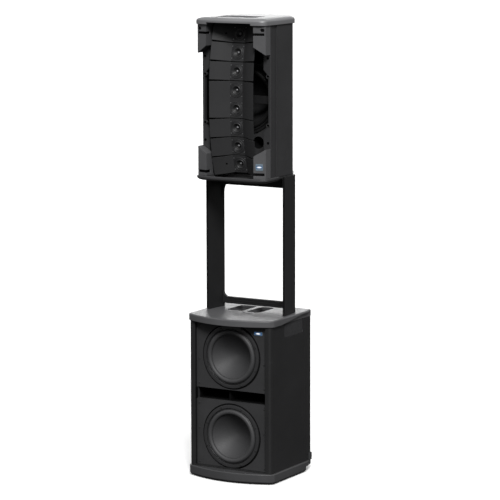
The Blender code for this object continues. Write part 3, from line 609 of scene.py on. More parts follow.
def build_woofer(prefix, seat, flange, hole, cone, depth, magnet, look=None, cone_look=None):
    """Frame with bolts, gasket, rubber surround and ribbed cone, turned about the CAD cone's own axis."""
    x, (front, _), z = span(prefix + "_cone")
    place = facing(middle_of(x), front + 0.002, middle_of(z))
    neck = magnet * 0.62
    ring = cone + 0.0212
    basket = [
        (flange, seat - CLEAR), (flange, -0.0035), (flange - 0.0006, -0.0047), (flange - 0.002, -0.0053),
        (hole + 0.0035, -0.0058), (hole + 0.0024, -0.0052), (hole + 0.0018, -0.001),
        (hole - 0.0008, -0.001), (hole - 0.0014, -0.005), (ring + 0.0008, -0.0056), (ring, -0.005),
        (ring, 0.001), (cone + 0.01, 0.01), (neck + 0.006, depth - 0.006), (neck - 0.012, depth - 0.006),
        (neck - 0.012, depth), (neck + 0.012, depth), (hole - 0.001, 0.018), (hole - 0.001, seat - CLEAR)]
    piece(prefix + "_basket", turn(basket), prefix + "_frame", matrix=place, look=look)
    bolts = bmesh.new()
    circle = (flange + hole + 0.0035) / 2
    for number in range(WOOFER_BOLTS):
        angle = 2 * math.pi * (number + 0.5) / WOOFER_BOLTS
        head = Matrix.Translation((circle * math.cos(angle), -0.0054, circle * math.sin(angle)))
        screw(bolts, head, 0.0042, 0.0026)
    extra(prefix + "_bolts", bolts, prefix + "_frame", matrix=place, look=look)
    inner, outer = cone + 0.0004, cone + 0.0208
    middle, radius = (inner + outer) / 2, (outer - inner) / 2
    roll = arc((middle, -0.001), radius, 0, -180, 20)
    under = arc((middle, -0.001), radius - 0.0014, -180, 0, 20)
    piece(prefix + "_roll", turn(roll + under), prefix + "_surround", matrix=place, look=look)
    face = []
    steps = 30
    for step in range(steps + 1):
        radius = cone * (1 - step / steps)
        share = radius / cone
        rib = 0.0005 * math.sin(radius / 0.0065 * 2 * math.pi) if 0.45 < share < 0.97 else 0.0
        face.append((radius, depth * 0.62 * (1 - share ** 1.7) + rib))
    back = [(radius, distance + 0.002) for radius, distance in reversed(face)]
    paper = turn([(cone, -0.0016)] + face + back)
    piece(prefix + "_paper", paper, prefix + "_cone", matrix=place, look=cone_look)


def build_seat_gaskets():
    """A thin foam ring in each woofer seat of the bass box, near-black: partly its own colour, partly painted
    shade around the woofer's flange.
    """
    profile = [(0.1329, 0.0036), (0.138, 0.0036), (0.138, 0.0018), (0.1368, 0.0012), (0.1329, 0.0012)]
    for word, z in CONE_HEIGHTS.items():
        extra(f"sub_seat_gasket_{word}", turn(profile), "sub_baffle", "surround_rubber",
              matrix=facing(0, SUB_BAFFLE_DEPTH[0], z), look="painted_shade_black")


# ---- amplifier panels
PANEL_SCREWS = 5               # down each side


def rear_at(x, depth, z):
    return facing(x, depth, z, 180)


def stub(node):
    """A round control's place on its panel, its length and its radius."""
    x, depth, z = span(node)
    return rear_at(middle_of(x), depth[0], middle_of(z)), depth[1] - depth[0], (x[1] - x[0]) / 2


def build_panel(node, rows):
    """A sheet with rounded corners, screws down both sides and rows of vents, given as heights."""
    x, depth, z = span(node)
    screws = bmesh.new()
    for side in grown(x, -0.007):
        for step in range(PANEL_SCREWS):
            height = z[0] + 0.008 + (z[1] - z[0] - 0.016) * step / (PANEL_SCREWS - 1)
            screw(screws, rear_at(side, depth[1], height), 0.0038, 0.0022)
    cuts = []
    for height in rows:
        for step in range(9):
            middle = (step - 4) * 0.0115 - 0.03
            vent = rectangle((middle - 0.0035, middle + 0.0035), (height, height + 0.0022), 0.001, 2)
            cuts.append(board(vent, *grown(depth, 0.01)))
    sheet = board(rectangle(x, z, 0.008), *depth)
    piece(node + "_sheet", sheet, node, cuts=cuts, bevel=0.0006)
    extra(node + "_screws", screws, node, "magnet_iron")


def build_heat_sink(node, count, thickness, root):
    """A comb of fins that taper to rounded tips."""
    x, depth, z = span(node)
    pitch = (x[1] - x[0] - thickness) / (count - 1)
    shown = thickness * 0.5
    teeth = [(x[0], depth[0]), (x[1], depth[0])]
    for fin in reversed(range(count)):
        left = x[0] + fin * pitch
        middle = left + thickness / 2
        teeth += [(left + thickness, depth[0] + root), (middle + shown * 0.7, depth[1] - 0.001),
                  (middle + shown * 0.3, depth[1]), (middle - shown * 0.3, depth[1]),
                  (middle - shown * 0.7, depth[1] - 0.001), (left, depth[0] + root)]
    piece(node + "_fins", skin([plan(teeth, level) for level in z]), node, bevel=0.0003)


def build_connectors(node, centres):
    """A raised block with recessed round sockets, each with a latch tab and contact pins."""
    x, depth, z = span(node)
    face = depth[1]
    cuts = [drum(rear_at(cx, face, cz), 0.0125, -0.01, 0.0085, SMALL_ROUND) for cx, cz in centres]
    body = board(rectangle(x, z, 0.004), *depth)
    piece(node + "_body", body, node, cuts=cuts, bevel=0.0008)
    collar = [(0, 0.0065), (0.0094, 0.0065), (0.0094, -0.0004), (0.0106, -0.0012), (0.0121, -0.0008),
              (0.0121, 0.008), (0, 0.008)]
    tab = rectangle((-0.0028, 0.0028), (0.0098, 0.015), 0.001)
    pin = [(0, 0.0066), (0.0011, 0.0066), (0.0011, 0.0024), (0.0006, 0.0018), (0, 0.0018)]
    rings, pins = bmesh.new(), bmesh.new()
    for cx, cz in centres:
        place = rear_at(cx, face, cz)
        turn(collar, place, SMALL_ROUND, into=rings)
        skin([[place @ point for point in local_face(tab, y)] for y in (0.001, -0.0018)], rings)
        for angle in (90, 210, 330):
            offset = (0.0047 * math.cos(math.radians(angle)), 0, 0.0047 * math.sin(math.radians(angle)))
            turn(pin, place @ Matrix.Translation(offset), SCREW_ROUND, into=pins)
        for dx, dz in ((-0.0115, 0.0115), (0.0115, -0.0115)):
            screw(pins, place @ Matrix.Translation((dx, 0, dz)), 0.0016, 0.001)
    extra(node + "_sockets", rings, node, "knob_plastic")
    extra(node + "_pins", pins, node, "magnet_iron")


def build_inlet(node):
    """A mains inlet: a flanged shell with a deep recess and three flat blades."""
    x, depth, z = span(node)
    middle, height = middle_of(x), middle_of(z)
    face = depth[1]
    half = [(0.0165, -0.0105, 0.002), (0.0165, 0.0045, 0.001), (0.011, 0.0105, 0.001)]
    well = rounded([(middle + dx, height + dz, radius) for dx, dz, radius in mirrored(half)])
    cut = board(well, depth[0] + 0.0015, face + 0.01)
    piece(node + "_shell", board(rectangle(x, z, 0.003), *depth), node, cuts=[cut], bevel=0.0007)
    blades = bmesh.new()
    for dx, dz in ((-0.007, -0.003), (0.0, 0.003), (0.007, -0.003)):
        across_blade = (middle + dx - 0.001, middle + dx + 0.001)
        outline = rectangle(across_blade, (height + dz - 0.002, height + dz + 0.002), 0.0004)
        board(outline, depth[0] + 0.0012, face - 0.001, rounds=(0.0, 0.0005), into=blades)
    for dx in (-0.0205, 0.0205):
        screw(blades, rear_at(middle + dx, face, height), 0.0022, 0.0012)
    extra(node + "_blades", blades, node, "magnet_iron")


def build_knob(node):
    """A fluted knob with a pointer ridge on its cap, and a skirt."""
    place, length, radius = stub(node)
    fluted = [(0, -0.003), (radius * 0.86, -0.003), (radius * 0.84, -length + 0.002),
              (radius * 0.76, -length + 0.0006), (radius * 0.6, -length + 0.0004), (0, -length + 0.0008)]
    bm = turn(fluted, sides=72, reach=lambda angle: 1 + 0.035 * math.cos(18 * angle))
    skirt = [(0, 0), (radius, 0), (radius, -0.0022), (radius * 0.9, -0.0034), (0, -0.0034)]
    turn(skirt, sides=SMALL_ROUND, into=bm)
    mark = rectangle((-0.0007, 0.0007), (radius * 0.15, radius * 0.78), 0.0004)
    solid(mark, -length + 0.001, -length, place=local_face, into=bm)
    piece(node + "_grip", bm, node, matrix=place, smooth=30)


def build_button(node):
    place, length, radius = stub(node)
    profile = [(0, 0), (radius, 0), (radius, -length + 0.0012), (radius * 0.9, -length + 0.0003),
               (radius * 0.7, -length), (radius * 0.5, -length + 0.0006), (0, -length + 0.0009)]
    piece(node + "_cap", turn(profile, sides=SMALL_ROUND), node, matrix=place)


def build_rocker(node, panel):
    """A rocker with a hollowed face, in a fixed bezel."""
    x, (base, rear), z = span(node)
    middle = middle_of(z)
    low = z[0] + 0.0002
    key = rounded([(base, low, 0), (base, z[1], 0), (base + 0.006, z[1], 0.0008),
                   (base + 0.0034, middle + 0.003, 0.004), (base + 0.0034, middle - 0.003, 0.004),
                   (base + 0.0044, low, 0.0008)])
    piece(node + "_key", solid(key, *x, place=side_on), node, bevel=0.0005)
    face = span(panel)[1][1]
    rim = rectangle(grown(x, 0.0035), grown(z, 0.0035), 0.0015)
    hole = rectangle(grown(x, 0.0005), grown(z, 0.0006), 0.0006)
    cut = board(hole, face - 0.01, rear + 0.01)
    bezel = board(rim, face, min(face + 0.003, rear))
    extra(node + "_bezel", bezel, panel, "control_plastic", cuts=[cut], bevel=0.0005)


# ---- status lights
def build_lens(node, holder, place, thickness, border):
    """A lens in a thin raised frame, which stands out past it by border, sideways and up."""
    x, _, z = span(node)
    width, height = (x[1] - x[0]) / 2, (z[1] - z[0]) / 2
    wide, tall = (-width, width), (-height, height)
    lens = solid(rectangle(wide, tall, 0.0022), 0.0, -thickness, place=local_face)
    piece(node + "_lens", lens, node, matrix=place, bevel=0.0006)
    hole = rectangle(grown(wide, 0.0002), grown(tall, 0.0002), 0.0022)
    cut = solid(hole, 0.01, -0.01, place=local_face)
    rim = rectangle(grown(wide, border[0]), grown(tall, border[1]), 0.003)
    frame_bm = solid(rim, 0.0002, -thickness * 0.72, place=local_face)
    extra(node + "_frame", frame_bm, holder, "control_plastic", cuts=[cut], bevel=0.0003, matrix=place,
          look="lens_surround")


def build_sub_light():
    x, depth, z = span("sub_status_light")
    place = facing(middle_of(x), depth[1], middle_of(z))
    build_lens("sub_status_light", "sub_baffle", place, depth[1] - depth[0], (0.0018, 0.0018))


def build_box_light():
    """The array box's light, on the slanted face of its lower right bracket."""
    holder = "grille_bracket_lower_right"
    x, _, z = span("speaker_status_light")
    (inner, outer), (front, _), _ = span(holder)
    middle = middle_of(x)
    face = bracket_face(middle, inner, outer, front) - CLEAR
    slant = math.degrees(math.atan((BRACKET_OUTER_FRONT - front) / (outer - inner)))
    place = facing(middle, face, middle_of(z), slant)
    build_lens("speaker_status_light", holder, place, 0.0025, (0.0025, 0.008))


# ---- stand
# node, which way its arched side faces, width and height of the arch at each end, and the bar's own heights
CROSSBARS = (("stand_lower_crossbar", 1, (0.022, 0.026), (0.703, 0.731)),
             ("stand_upper_crossbar", -1, (0.014, 0.055), (1.207, 1.2457)))


def build_uprights():
    """Flat blades with a channel down the front edge and two shallow grooves down the outer face."""
    front = BLADE_DEPTH[0]
    slope = (BLADE_OUTER - BLADE_INNER - BLADE_THICK) / (BLADE_DEPTH[1] - front)
    centre = BLADE_OUTER - BLADE_THICK / 2
    low, high = SUB_TOP + 0.004, BLADE_Z[1] + 0.01
    for side, word in SIDES:
        channel = [(side * (centre - 0.0034), front - 0.004), (side * (centre + 0.0036), front - 0.004),
                   (side * (centre + 0.002), front + 0.013), (side * (centre - 0.005), front + 0.013)]
        cuts = [solid(channel, low, high)]
        for start, end in ((0.011, 0.0145), (0.095, 0.104)):
            corners = ((start, -0.0018), (start, 0.002), (end, 0.002), (end, -0.0018))
            groove = [(side * (BLADE_OUTER - slope * depth + out), front + depth) for depth, out in corners]
            cuts.append(solid(groove, low, high))
        post = solid(blade_outline(side), *BLADE_Z)
        piece(f"stand_{word}_post", post, f"stand_{word}_upright", cuts=cuts, bevel=0.0013)


def build_crossbars():
    """Grooved crossbars with one flat edge, and an arch where each end meets its upright."""
    for node, up, (wide, tall), (low, high) in CROSSBARS:
        x, depth, z = span(node)
        half = x[1]
        flat, tip = z if up > 0 else reversed(z)
        arch = []
        for along, rise in arc((0.0, 0.0), 1.0, 0, 90, 14):
            arch.append((half - wide + wide * along, tip - up * tall + up * tall * (1 - rise)))
        outline = flipped(arch) + [(-half, flat), (half, flat)] + arch
        height = high - low
        cuts = []
        for share in (0.26, 0.6):
            groove = rectangle(grown((-half, half), -0.03),
                               (low + height * share, low + height * (share + 0.12)), 0.0012)
            cuts.append(board(groove, depth[0] - 0.01, depth[0] + 0.0022))
        piece(node + "_bar", board(outline, *depth), node, cuts=cuts, bevel=0.0012)


# ---- array box
BOX_X, BOX_DEPTH, BOX_Z = span("speaker_cabinet")
BOX_MIDDLE = middle_of(span("speaker_woofer_cone")[2])
BOX_INSIDE = BOX_X[1] - 0.012
CAP_X, CAP_DEPTH, CAP_Z = span("speaker_top_cap")
CAP_UNDERSIDE = 1.898
HANDLE_X, HANDLE_DEPTH, HANDLE_FLOOR = (-0.092, 0.092), (0.05, 0.15), 1.9025
PORT_RADIUS, PORT_X, PORT_OFFSETS = 0.0255, 0.0575, (-0.181, 0.168)
STRIP_INNER, STRIP_REAR = 0.128, 0.074
STRIP_HOLE_X, STRIP_HOLES, STRIP_BOSSES = 0.149, (-0.172, -0.1, 0.1, 0.174), (-0.1, 0.1)


def box_cap_outline(waist=0.0):
    """Plan of an array box cap: shallow front, slanted rear corners, drawn in by waist beside the stand."""
    front, rear = CAP_DEPTH
    width = CAP_X[1]
    half = [(0.0, front, 0.0), (0.055, front + 0.001, 0.2), (0.11, front + 0.004, 0.15),
            (0.15, front + 0.012, 0.05), (width - 0.002, front + 0.026, 0.014),
            (width, front + 0.034, 0.008)]
    if waist:
        half += [(width, 0.122, 0.002), (width - waist, 0.126, 0.002)]
    half += [(width - waist, 0.252, 0.03), (0.104, rear - 0.008, 0.008), (0.094, rear, 0.006)]
    return rounded(mirrored(half))


def build_box_cabinet():
    """The shell, its front edges folded in to strips that are notched beside the array; near-black sheets on
    its inner walls and cups in the strips' holes are painted shade.
    """
    width = BOX_X[1]
    front, rear = BOX_DEPTH
    outer = [(width, front, 0.003), (width, 0.07, 0), (width - 0.004, 0.07, 0.001),
             (width - 0.004, 0.112, 0.001), (width, 0.112, 0), (width, 0.245, 0.03), (0.095, rear, 0.014)]
    inner = [(0.089, rear - 0.012, 0.004), (BOX_INSIDE, 0.241, 0.015), (BOX_INSIDE, STRIP_REAR, 0.001),
             (STRIP_INNER, STRIP_REAR, 0.001), (STRIP_INNER, front, 0.001)]
    notch = [(0.122, -0.1343, 0), (0.122, 0.1343, 0), (0.151, 0.102, 0.008), (0.151, -0.102, 0.008)]
    hole = [(0, 0.0105), (0.0053, 0.0105), (0.0053, -0.0006), (0.0047, -0.0006), (0.0047, 0.0095),
            (0, 0.0095)]
    boss = [(0.0054, 0.0115), (0.0054, -0.001), (0.006, -0.0016), (0.0078, -0.0016), (0.0084, -0.0008),
            (0.0084, 0.0115)]
    cuts = [block((-0.07, 0.07), (rear - 0.03, rear + 0.01), (1.33, 1.83))]
    shade_sheet, holes, bosses = bmesh.new(), bmesh.new(), bmesh.new()
    for side, _ in SIDES:
        shape = [(side * x, BOX_MIDDLE + z) for x, z in rounded(notch)]
        cuts.append(board(shape, front - 0.01, STRIP_REAR + 0.001))
        for offset in STRIP_HOLES:
            place = facing(side * STRIP_HOLE_X, front, BOX_MIDDLE + offset)
            cuts.append(drum(place, 0.0056, -0.01, 0.012, SMALL_ROUND))
            turn(hole, place, SMALL_ROUND, into=holes)
            if offset in STRIP_BOSSES:
                turn(boss, place, SMALL_ROUND, into=bosses)
        x = across(side, BOX_INSIDE + 0.0001, BOX_INSIDE - 0.0008)
        solid(rectangle(x, (STRIP_REAR + 0.0002, 0.1415)), *grown(BOX_Z, -0.002), into=shade_sheet)
    shell = solid(rounded(mirrored(outer) + flipped(inner) + inner), *BOX_Z)
    # painted shade: a near-black sheet on the inner walls, where the gaps beside the array fall in shade
    extra("speaker_wall_painted_shade", shade_sheet, "speaker_cabinet", look="painted_shade_black")
    piece("speaker_shell", shell, "speaker_cabinet", cuts=cuts, bevel=0.0011)
    extra("speaker_strip_bosses", bosses, "speaker_cabinet")
    # near-black cups in the strips' holes: painted shade
    extra("speaker_strip_holes", holes, "speaker_cabinet", "control_plastic", look="painted_shade_black")


def build_box_top():
    """The domed top cap, with a ribbed handle well."""
    rim = [(0.0015, BOX_Z[1] + CLEAR), (0.0, 1.8905), (0.0, 1.904), (0.001, 1.9075), (0.0035, 1.9102),
           (0.008, 1.913), (0.018, 1.9165), (0.035, 1.9183), (0.055, CAP_Z[1])]
    cuts = [solid(rectangle((-0.104, 0.104), (-0.03, 0.13), 0.004), 1.88, CAP_UNDERSIDE),
            solid(rectangle(HANDLE_X, HANDLE_DEPTH, 0.016), HANDLE_FLOOR, CAP_Z[1] + 0.01, (0.004, 0.0))]
    cap = skin([plan(shrink(box_cap_outline(), inset), z) for inset, z in rim])
    # the top cap takes the lit copy of the cap finish: painted light
    piece("speaker_top_moulding", cap, "speaker_top_cap", cuts=cuts, bevel=0.0014, look="cap_moulding_painted_light")
    pads = bmesh.new()
    for rib in range(7):
        low = HANDLE_DEPTH[0] + 0.014 + rib * 0.0105
        ridge = rectangle(grown(HANDLE_X, -0.014), (low, low + 0.0055), 0.0025)
        solid(ridge, HANDLE_FLOOR - 0.0005, HANDLE_FLOOR + 0.0022, (0.0, 0.001), into=pads)
    extra("speaker_handle_pads", pads, "speaker_top_cap", "surround_rubber")


def build_box_bottom():
    rim = [(0.03, 1.246), (0.02, 1.2469), (0.012, 1.2484), (0.006, 1.251), (0.002, 1.2545), (0.0, 1.258),
           (0.0, 1.2655), (0.0012, BOX_Z[0] - CLEAR)]
    cut = solid(rectangle((-0.112, 0.112), (0.004, 0.13), 0.004), 1.254, 1.29)
    cap = skin([plan(shrink(box_cap_outline(0.0075), inset), z) for inset, z in rim])
    # the bottom cap takes the shaded copy of the cap finish: painted shade
    piece("speaker_bottom_moulding", cap, "speaker_bottom_cap", cuts=[cut], bevel=0.0012, look="cap_moulding_painted_shade")


def build_box_baffle():
    """The baffle behind the array: the woofer's hole, four flared port tubes and two columns of screws."""
    x, depth, z = span("speaker_baffle")
    front = depth[0]
    woofer_hole = span("speaker_woofer_frame")[0][1] - 0.012
    cuts = [drum(facing(0, front, BOX_MIDDLE), woofer_hole, -0.01, 0.03)]
    lip = PORT_RADIUS - 0.0003
    tube = [(0.0225, 0.06), (0.0225, 0.008), (0.0236, 0.001), (0.0244, -0.0004), (lip, -0.0004), (lip, 0.06)]
    tubes, screws = bmesh.new(), bmesh.new()
    for side, _ in SIDES:
        for offset in PORT_OFFSETS:
            place = facing(side * PORT_X, front, BOX_MIDDLE + offset)
            cuts.append(drum(place, PORT_RADIUS, -0.01, 0.03))
            turn(tube, place, 48, into=tubes)
        for offset in (-0.29, -0.215, -0.125, 0.125, 0.215, 0.29):
            screw(screws, facing(side * 0.142, front, BOX_MIDDLE + offset), 0.0038, 0.0018)
    sheet = board(rectangle(x, z), *depth)
    piece("speaker_baffle_board", sheet, "speaker_baffle", cuts=cuts, bevel=0.0008)
    # the port tubes are painted near-black for the shade inside them
    extra("speaker_port_tubes", tubes, "speaker_baffle", "control_plastic", look="painted_shade_black")
    extra("speaker_baffle_screws", screws, "speaker_baffle", "woofer_frame")


BRACKET_OUTER_FRONT = 0.0215   # depth of a bracket's outer edge; its inner edge stands furthest forward
BRACKET_WALL = 0.004
# heights of the slit and of the top of the painted-shade sheet behind it, and how far the inner edge's end is
# from the outer edge's
UPPER_BRACKET = ((1.849, 1.859), 1.8815, 0.032)
LOWER_BRACKET = ((1.2795, 1.2905), 1.2945, -0.029)
SLOT_HOLE = ((0.1395, 0.156), (1.865, 1.878), 0.0055)


def bracket_face(x, inner, outer, front):
    return front + (x - inner) / (outer - inner) * (BRACKET_OUTER_FRONT - front)


def build_bracket(node, side, upper):
    """A corner shell that carries the grille: slanted face, turned-back walls, a slit and a slotted hole."""
    xs, (front, rear), z = span(node)
    inner, outer = sorted(abs(x) for x in xs)

    def slanted(corners, behind):
        return [at(side * x, bracket_face(x, inner, outer, front) + behind, h) for x, h in corners]

    def flat(corners, depth):
        return [at(side * x, depth, h) for x, h in corners]

    slit, top, lean = UPPER_BRACKET if upper else LOWER_BRACKET
    end, outer_edge = reversed(z) if upper else z
    inner_edge = outer_edge + lean
    shift = -BRACKET_WALL if upper else BRACKET_WALL
    rim = [(inner, end), (outer, end), (outer, outer_edge), (inner, inner_edge)]
    left, right = grown((inner, outer), -BRACKET_WALL)
    hollow = [(left, end + shift), (right, end + shift),
              (right, outer_edge - shift * 1.3), (left, inner_edge - shift * 1.3)]
    deep = bracket_face(outer, inner, outer, front) + 0.016
    cuts = [skin([slanted(hollow, BRACKET_WALL), flat(hollow, rear + 0.01)]),
            board(rectangle(across(side, inner - 0.01, 0.1555), slit, 0.0015), -0.02, deep)]
    if upper:
        x, heights, radius = SLOT_HOLE
        cuts.append(board(rectangle(across(side, *x), heights, radius), -0.02, deep))
    piece(node + "_shell", skin([slanted(rim, 0.0), flat(rim, rear)]), node, cuts=cuts, bevel=0.0012)
    left, right = grown((left, right), -0.0004)
    low = slit[0] - 0.004
    shade_backing = [(left, low), (right, low), (right, top), (left, top)]
    bm = skin([slanted(shade_backing, BRACKET_WALL + near) for near in (0.0002, 0.0014)])
    # a near-black sheet in the hollow behind the slit: painted shade
    extra(node + "_backing", bm, node, "control_plastic", look="painted_shade_black")


# ---- folding array
FOLD_DEPTH = PIVOTS["array_upper_inner"].y - FRONT
FOLD_ANGLE = math.radians(5.0)
PITCH = PIVOTS["array_upper_inner"].z - BOX_MIDDLE
HALF_MODULE = (PITCH - 0.0022) / 2
FLARE_X, FLARE_DEPTH = 0.1035, 0.016
THROAT_X, THROAT_DEPTH = 0.03, 0.06
THROAT_FACE = THROAT_DEPTH - FOLD_DEPTH
DRIVER_ROUND = 64
EYELET_X = -0.0554


def module_outline(rear):
    """Plan of a module about its fold axis: horn-curved walls that meet the throat, with a box behind."""
    steps = 9
    half = []
    for step in range(steps + 1):
        share = step / steps
        bow = 0.0028 * math.sin(math.pi * share)
        half.append((THROAT_X + (FLARE_X - THROAT_X) * share - bow * 0.5,
                     THROAT_DEPTH + (FLARE_DEPTH - THROAT_DEPTH) * share - bow * 0.85))
    half += [(FLARE_X, FLARE_DEPTH + 0.005), (0.038, THROAT_DEPTH + 0.003), (0.034, THROAT_DEPTH + 0.01),
             (0.034, rear)]
    return [(x, depth - FOLD_DEPTH) for x, depth in mirrored(half)]


def build_driver(number, place):
    """A small driver: pressed ring, half-roll surround, cone and a bright domed cap."""
    node = f"array_driver_{number}"
    ring = [(0.0212, 0.002), (0.0214, -0.0004), (0.0222, -0.0012), (0.025, -0.0012), (0.0262, -0.0004),
            (0.0262, 0.01), (0.018, 0.014), (0.018, 0.029), (0, 0.029), (0, 0.025),
            (0.014, 0.014), (0.0205, 0.006)]
    piece(f"{node}_ring", turn(ring, sides=DRIVER_ROUND), node, slot="woofer_frame", matrix=place)
    roll = arc((0.0181, 0.001), 0.0032, 0, -180, 10) + arc((0.0181, 0.001), 0.0024, -180, 0, 10)
    extra(f"{node}_roll", turn(roll, sides=DRIVER_ROUND), node, "woofer_frame", matrix=place)
    cone = [(0.015, 0.0012), (0.012, 0.003), (0.009, 0.0052), (0.005, 0.0072), (0, 0.0076),
            (0, 0.0086), (0.0052, 0.0082), (0.0094, 0.0062), (0.015, 0.0022)]
    extra(f"{node}_paper", turn(cone, sides=DRIVER_ROUND), node, "driver_cone", matrix=place)
    dome = [(0.006, 0.0072)]
    dome += [(0.006 * math.cos(a), 0.0066 - 0.0052 * math.sin(a)) for a in (0.0, 0.3, 0.6, 0.9, 1.2)]
    dome += [(0, 0.0014), (0, 0.0072)]
    extra(f"{node}_dome", turn(dome, sides=48), node, "magnet_iron", matrix=place)


def build_eyelet(node, place, height):
    """A small cup in a module's left wall, near-black for painted shade inside the hole; returns the cutter
    that makes room for it.
    """
    share = (abs(EYELET_X) - THROAT_X) / (FLARE_X - THROAT_X)
    depth = THROAT_DEPTH + (FLARE_DEPTH - THROAT_DEPTH) * share - FOLD_DEPTH
    lean = math.atan2(THROAT_DEPTH - FLARE_DEPTH, FLARE_X - THROAT_X)
    centre = Matrix.Translation((EYELET_X, depth, height)) @ Matrix.Rotation(lean, 4, "Z")
    cup = [(0, 0.0042), (0.0041, 0.0042), (0.0041, 0.0006), (0.0036, 0.0006), (0.0036, 0.0034), (0, 0.0034)]
    extra(node + "_eyelet", turn(cup, centre, 24), node, "control_plastic", matrix=place, look="painted_shade_black")
    return drum(centre, 0.0042, -0.02, 0.0045, 24)


def build_module(node, place, centres, numbers, low, high, rear, eyelet=None):
    """A flared array block with a raised ring and four fixings at each driver."""
    horn = skin([local_plan(module_outline(rear), level) for level in (low, high)])
    ring = [(0.0266, 0.004), (0.0266, -0.001), (0.0274, -0.0019), (0.0288, -0.0019), (0.0297, -0.0008),
            (0.0297, 0.004)]
    cuts = []
    fixings, rings = bmesh.new(), bmesh.new()
    for z in centres:
        centre = Matrix.Translation((0, THROAT_FACE, z))
        cuts.append(drum(centre, 0.0272, -0.02, 0.055, DRIVER_ROUND))
        turn(ring, centre, DRIVER_ROUND, into=rings)
        for dx in (-0.0262, 0.0262):
            for dz in (-0.0245, 0.0245):
                screw(fixings, Matrix.Translation((dx, THROAT_FACE, z + dz)), 0.0026, 0.0016)
    if eyelet is not None:
        cuts.append(build_eyelet(node, place, eyelet))
    piece(node + "_horn", horn, node, cuts=cuts, bevel=0.001, matrix=place, smooth=30)
    extra(node + "_rings", rings, node, "array_plastic", matrix=place)
    extra(node + "_fixings", fixings, node, "magnet_iron", matrix=place)
    for number, z in zip(numbers, centres):
        build_driver(number, place @ Matrix.Translation((0, THROAT_FACE, z)))


def build_centre_block():
    """The fixed block of two drivers, and the arm that holds it across the box."""
    place = Matrix.Translation(at(0, FOLD_DEPTH, BOX_MIDDLE))
    node = "array_centre_block"
    reach = span(node)[0][1]
    arm = rectangle((-reach, reach), (0.1005 - FOLD_DEPTH, 0.1115 - FOLD_DEPTH))
    bm = skin([local_plan(arm, level) for level in (-0.016, 0.016)])
    extra("array_centre_arm", bm, node, "stand_paint", bevel=0.0012, matrix=place)
    half = HALF_MODULE * 2 + 0.0011
    build_module(node, place, (PITCH / 2, -PITCH / 2), (4, 5), -half, half, 0.112)


def build_folding_modules():
    """Three modules above and three below, each turned by one more fold than the one before it."""
    for sign, word, numbers in ((1, "upper", (3, 2, 1)), (-1, "lower", (6, 7, 8))):
        z = sign * PITCH / 2
        for step, (part, number) in enumerate(zip(("inner", "middle", "outer"), numbers), 1):
            place = (Matrix.Translation(PIVOTS[f"array_{word}_{part}"])
                     @ Matrix.Rotation(-sign * FOLD_ANGLE * step, 4, "X"))
            eyelet = z - sign * 0.0035 if part == "outer" else None
            build_module(f"array_module_{number}", place, (z,), (number,), z - HALF_MODULE, z + HALF_MODULE,
                         0.09, eyelet)


# ---- build
build_sub_cabinet()
build_sub_painted_shade()
build_sub_baffle()
build_sub_top()
build_sub_bottom()
for word in CONE_HEIGHTS:
    build_woofer(f"sub_woofer_{word}", SEAT_DEPTH, 0.1325, SUB_HOLE, 0.0925, 0.085, 0.07)
build_seat_gaskets()
build_panel("sub_amp_panel", (0.563, 0.569))
build_heat_sink("sub_heat_sink", 13, 0.0066, 0.006)
build_connectors("sub_connector_block", [(x, z) for x in (-0.082, -0.04) for z in (0.222, 0.268)])
build_inlet("sub_power_inlet")
build_knob("sub_volume_knob")
build_button("sub_polarity_button")
build_rocker("sub_power_rocker", "sub_amp_panel")
build_sub_light()
build_uprights()
build_crossbars()
build_box_cabinet()
build_box_top()
build_box_bottom()
build_box_baffle()
for level in ("upper", "lower"):
    for side, word in SIDES:
        build_bracket(f"grille_bracket_{level}_{word}", side, level == "upper")
# the array box's woofer takes the darker copies of the woofer finishes: painted shade
build_woofer("speaker_woofer", 0.0, 0.1485, 0.1365, 0.108, 0.11, 0.078, "painted_shade_frame", "painted_shade_cone")
build_centre_block()
build_folding_modules()
build_panel("speaker_amp_panel", (1.392, 1.398))
build_heat_sink("speaker_heat_sink", 11, 0.005, 0.004)
build_connectors("speaker_connector_block", [(-0.046, z) for z in (1.458, 1.515, 1.572)])
build_inlet("speaker_power_inlet")
build_knob("speaker_level_knob_1")
build_knob("speaker_level_knob_2")
build_rocker("speaker_power_rocker", "speaker_amp_panel")
build_box_light()


# ---- floor, light and camera
WHITE = (1, 1, 1, 1)           # what the camera sees behind the floor
# the studio's brightness from straight down (0) to straight up (1)
SKY = [(0.0, 0.03), (0.46, 0.09), (0.52, 0.27), (0.7, 0.55), (1.0, 0.95)]
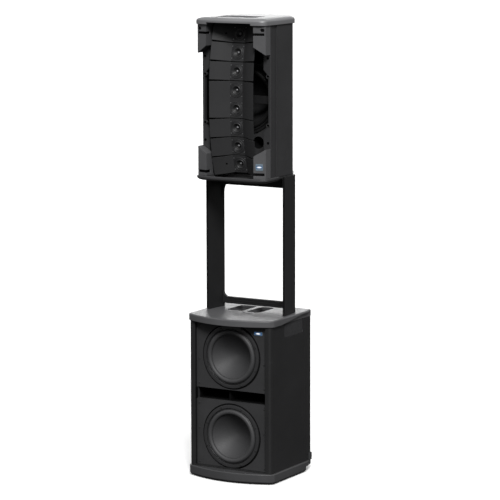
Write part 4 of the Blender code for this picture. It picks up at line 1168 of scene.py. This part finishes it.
# name, azimuth and elevation it comes from, strength, spread, and whether it only makes highlights
LIGHTS = [("key", 34, 40, 4.0, 18, False), ("sheen", -150, 6, 0.38, 20, True)]


def build_stage():
    bm = bmesh.new()
    bmesh.ops.create_circle(bm, cap_ends=True, radius=90.0, segments=64)
    floor = make("floor", bm)
    material = bpy.data.materials.new("floor")
    material.use_nodes = True
    shader = material.node_tree.nodes["Principled BSDF"]
    shader.inputs["Base Color"].default_value = (0.9, 0.9, 0.9, 1)
    shader.inputs["Roughness"].default_value = 0.9
    shader.inputs["Specular IOR Level"].default_value = 0.1
    floor.data.materials.append(material)

    # the floor shows and takes shadows, but throws no light back up
    floor.visible_diffuse = False
    floor.visible_glossy = False

    world = bpy.data.worlds.new("studio")
    bpy.context.scene.world = world
    world.use_nodes = True
    tree = world.node_tree
    up = wire(tree, "SeparateXYZ", {0: wire(tree, "TexCoord", {})["Generated"]})["Z"]
    height = wire(tree, "MapRange", {"Value": up, "From Min": -1.0})["Result"]
    sky = ramp(tree, height, [(position, (value, value, value, 1)) for position, value in SKY])
    seen = wire(tree, "LightPath", {})["Is Camera Ray"]
    shown = wire(tree, "Mix", {"Factor": seen, 6: sky, 7: WHITE}, data_type="RGBA")[2]
    tree.links.new(shown, tree.nodes["Background"].inputs["Color"])

    for name, azimuth, elevation, strength, angle, glossy_only in LIGHTS:
        light = bpy.data.lights.new(name, "SUN")
        light.energy = strength
        light.angle = math.radians(angle)
        item = bpy.data.objects.new(name, light)
        item.rotation_euler = (math.radians(90 - elevation), 0, math.radians(azimuth))
        item.visible_diffuse = not glossy_only
        bpy.context.scene.collection.objects.link(item)


build_stage()
camera = bpy.data.objects.new("camera", bpy.data.cameras.new("camera"))
camera.data.lens = 190.507
camera.data.sensor_width = 36.0
camera.location = (5.4987, -9.4002, 2.563)
camera.rotation_euler = (math.radians(81.554), math.radians(0.143), math.radians(30.31))
camera.data.clip_end = 300.0
bpy.context.scene.collection.objects.link(camera)
bpy.context.scene.camera = camera
bpy.context.scene.view_settings.view_transform = "Standard"
